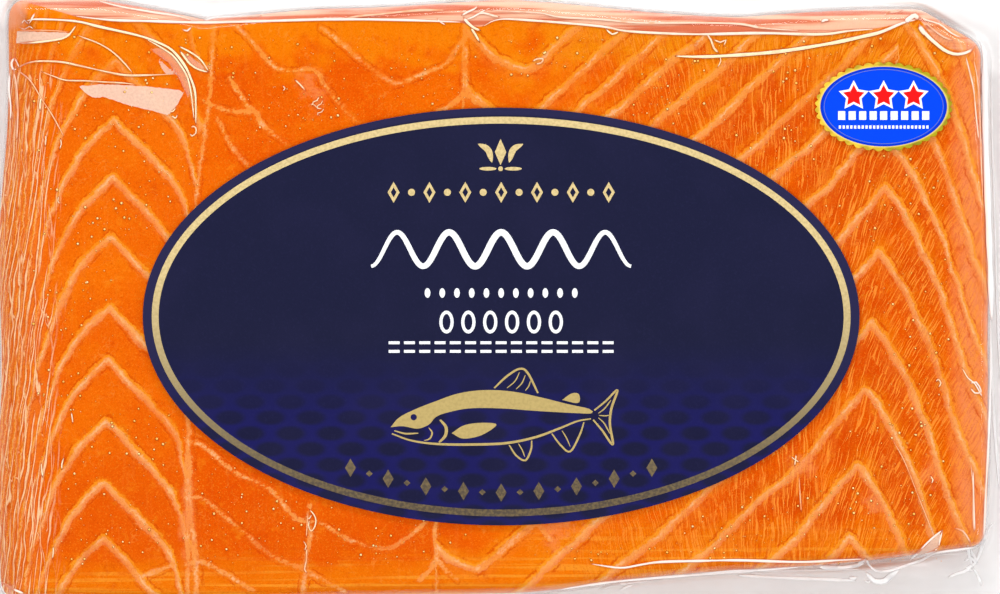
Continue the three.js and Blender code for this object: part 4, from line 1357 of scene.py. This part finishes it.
def paintSticker():
    paint = Paint("stickerBlue")
    place = paint.place()
    x, y, _ = place.split()
    offX = (x * 1000 - stickerForm["x"]) / stickerForm["halfLength"]
    offY = (y * 1000 - stickerForm["y"]) / stickerForm["halfWidth"]
    far = paint.reach(offX, offY)
    rim = paint.ramp(far, 0.992, 1.004)
    grain = paint.noise(place, 900, 2)
    foil = paint.noise(place, 500, 1)
    gold = paint.blend(paint.ramp(offX, 0.4, -0.4), tint(176, 160, 28), tint(240, 198, 62))
    gold = paint.blend(paint.ramp(foil, 0.4, 0.7) * 0.6, gold, tint(120, 116, 30))
    gold = paint.blend(paint.ramp(far, 1.04, 1.0) * 0.7, gold, tint(250, 224, 130))
    blue = paint.blend(paint.ramp(far, 0.93, 0.99), tint(0, 68, 232), tint(0, 44, 190))
    blue = paint.blend(paint.ramp(grain, 0.5, 0.8) * 0.15, blue, tint(0, 84, 240))
    colour = paint.blend(rim, blue, gold)
    surface = paint.principled({"Base Color": colour, "Roughness": 0.5, "Specular IOR Level": 0.08})
    return paint.finish(surface)


# build

def addPiece(piece, material, replaced=None):
    piece.data.materials.clear()
    piece.data.materials.append(material)
    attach(piece, "root")
    if replaced:
        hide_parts(replaced)
    print(piece.name, len(piece.data.polygons), "faces")


addPiece(makeSalmon(), paintSalmon(), "pack")
addPiece(makeFilm(), paintFilm(), "pack")
addPiece(makeFolds(), paintFolds(), "pack")
oil = paintDrops()
addPiece(makeDrops(oil), oil, "pack")
goldInk = paintGold()
whiteInk = paintInk("whiteInk", tint(248, 250, 252), tint(228, 230, 238))
redInk = paintInk("redInk", tint(244, 0, 0), tint(222, 2, 4))
labelGold, labelWhite = makeLabelPrint()
addPiece(labelGold, goldInk)
addPiece(labelWhite, whiteInk)
stickerWhite, stickerRed, stickerRing = makeStickerPrint()
addPiece(stickerWhite, whiteInk)
addPiece(stickerRed, redInk)
ringInk = paintInk("ringInk", tint(104, 116, 184), tint(146, 136, 150))
addPiece(stickerRing, ringInk)

for name, material in (("label", paintLabel()), ("sticker", paintSticker())):
    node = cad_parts[name]
    for slot in node.material_slots:
        slot.material = material
    print(name, "painted")


# stage

stage = {
    "floor": 3.0,
    "over": (1.2, 0.5),  # what the camera looks straight down on
    "eye": 0.9,  # camera above the flat top, in metres
    "frameWidth": 0.17391,  # what the camera takes in at the flat top
    # name, direction in degrees, elevation, distance, width, height, power, whether film mirrors it
    "softboxes": [
        ("overhead", 90, 90, 1.3, 1.7, 1.7, 12.6, False),
        ("left", 180, 40, 0.9, 0.8, 0.6, 2.4, False),
        ("near", 270, 45, 0.9, 0.9, 0.6, 3.0, False),
        ("right", 0, 20, 0.75, 0.8, 0.12, 2.2, True),
        ("far", 90, 24, 0.7, 1.0, 0.12, 4.0, True),
    ],
    # the room is dark overhead and bright at the horizon: how far up each is, and how bright
    "room": {"dark": (0.98, 0.02), "bright": (0.5, 0.9)},
}


def paintFloor():
    paint = Paint("paleFloor")
    place = paint.place()
    cloud = paint.noise(place, 6, 2)
    colour = paint.blend(cloud, tint(250, 249, 250), tint(253, 252, 252))
    return paint.finish(paint.principled({"Base Color": colour, "Roughness": 0.7, "Specular IOR Level": 0.1}))


def makeStage():
    half = stage["floor"] / 2 / mm
    corners = [(-half, -half, -0.3), (half, -half, -0.3), (half, half, -0.3), (-half, half, -0.3)]
    floor = makeMesh("floor", corners, [(0, 1, 2, 3)], False)
    floor.data.materials.append(paintFloor())
    for name, heading, elevation, distance, width, height, power, mirrored in stage["softboxes"]:
        data = bpy.data.lights.new("softbox" + name.capitalize(), "AREA")
        data.shape = "RECTANGLE"
        data.size, data.size_y, data.energy = width, height, power
        light = bpy.data.objects.new(data.name, data)
        bpy.context.scene.collection.objects.link(light)
        a, e = math.radians(heading), math.radians(elevation)
        light.location = (distance * math.cos(a) * math.cos(e), distance * math.sin(a) * math.cos(e),
                          distance * math.sin(e))
        light.rotation_euler = (math.pi / 2 - e, 0, a + math.pi / 2)
        light.visible_glossy = mirrored
    world = bpy.data.worlds.new("softRoom")
    bpy.context.scene.world = world
    world.use_nodes = True
    tree = world.node_tree
    (darkAt, dark), (brightAt, bright) = stage["room"]["dark"], stage["room"]["bright"]
    coordinates = addNode(tree, "ShaderNodeTexCoord", {}, {})
    parts = addNode(tree, "ShaderNodeSeparateXYZ", {}, {"Vector": coordinates.outputs["Generated"]})
    fade = addNode(tree, "ShaderNodeMapRange", {"interpolation_type": "SMOOTHSTEP"},
                   {0: parts.outputs["Z"], 1: darkAt, 2: brightAt, 3: dark, 4: bright})
    tree.links.new(fade.outputs["Result"], tree.nodes["Background"].inputs["Strength"])
    camera = bpy.data.cameras.new("camera")
    eye = bpy.data.objects.new("camera", camera)
    bpy.context.scene.collection.objects.link(eye)
    eye.location = (stage["over"][0] * mm, stage["over"][1] * mm, topZ * mm + stage["eye"])
    camera.sensor_width = 36
    camera.lens = camera.sensor_width * stage["eye"] / stage["frameWidth"]
    camera.clip_start, camera.clip_end = 0.05, 20
    bpy.context.scene.camera = eye
    bpy.context.scene.view_settings.view_transform = "Standard"


makeStage()
print("stage made")
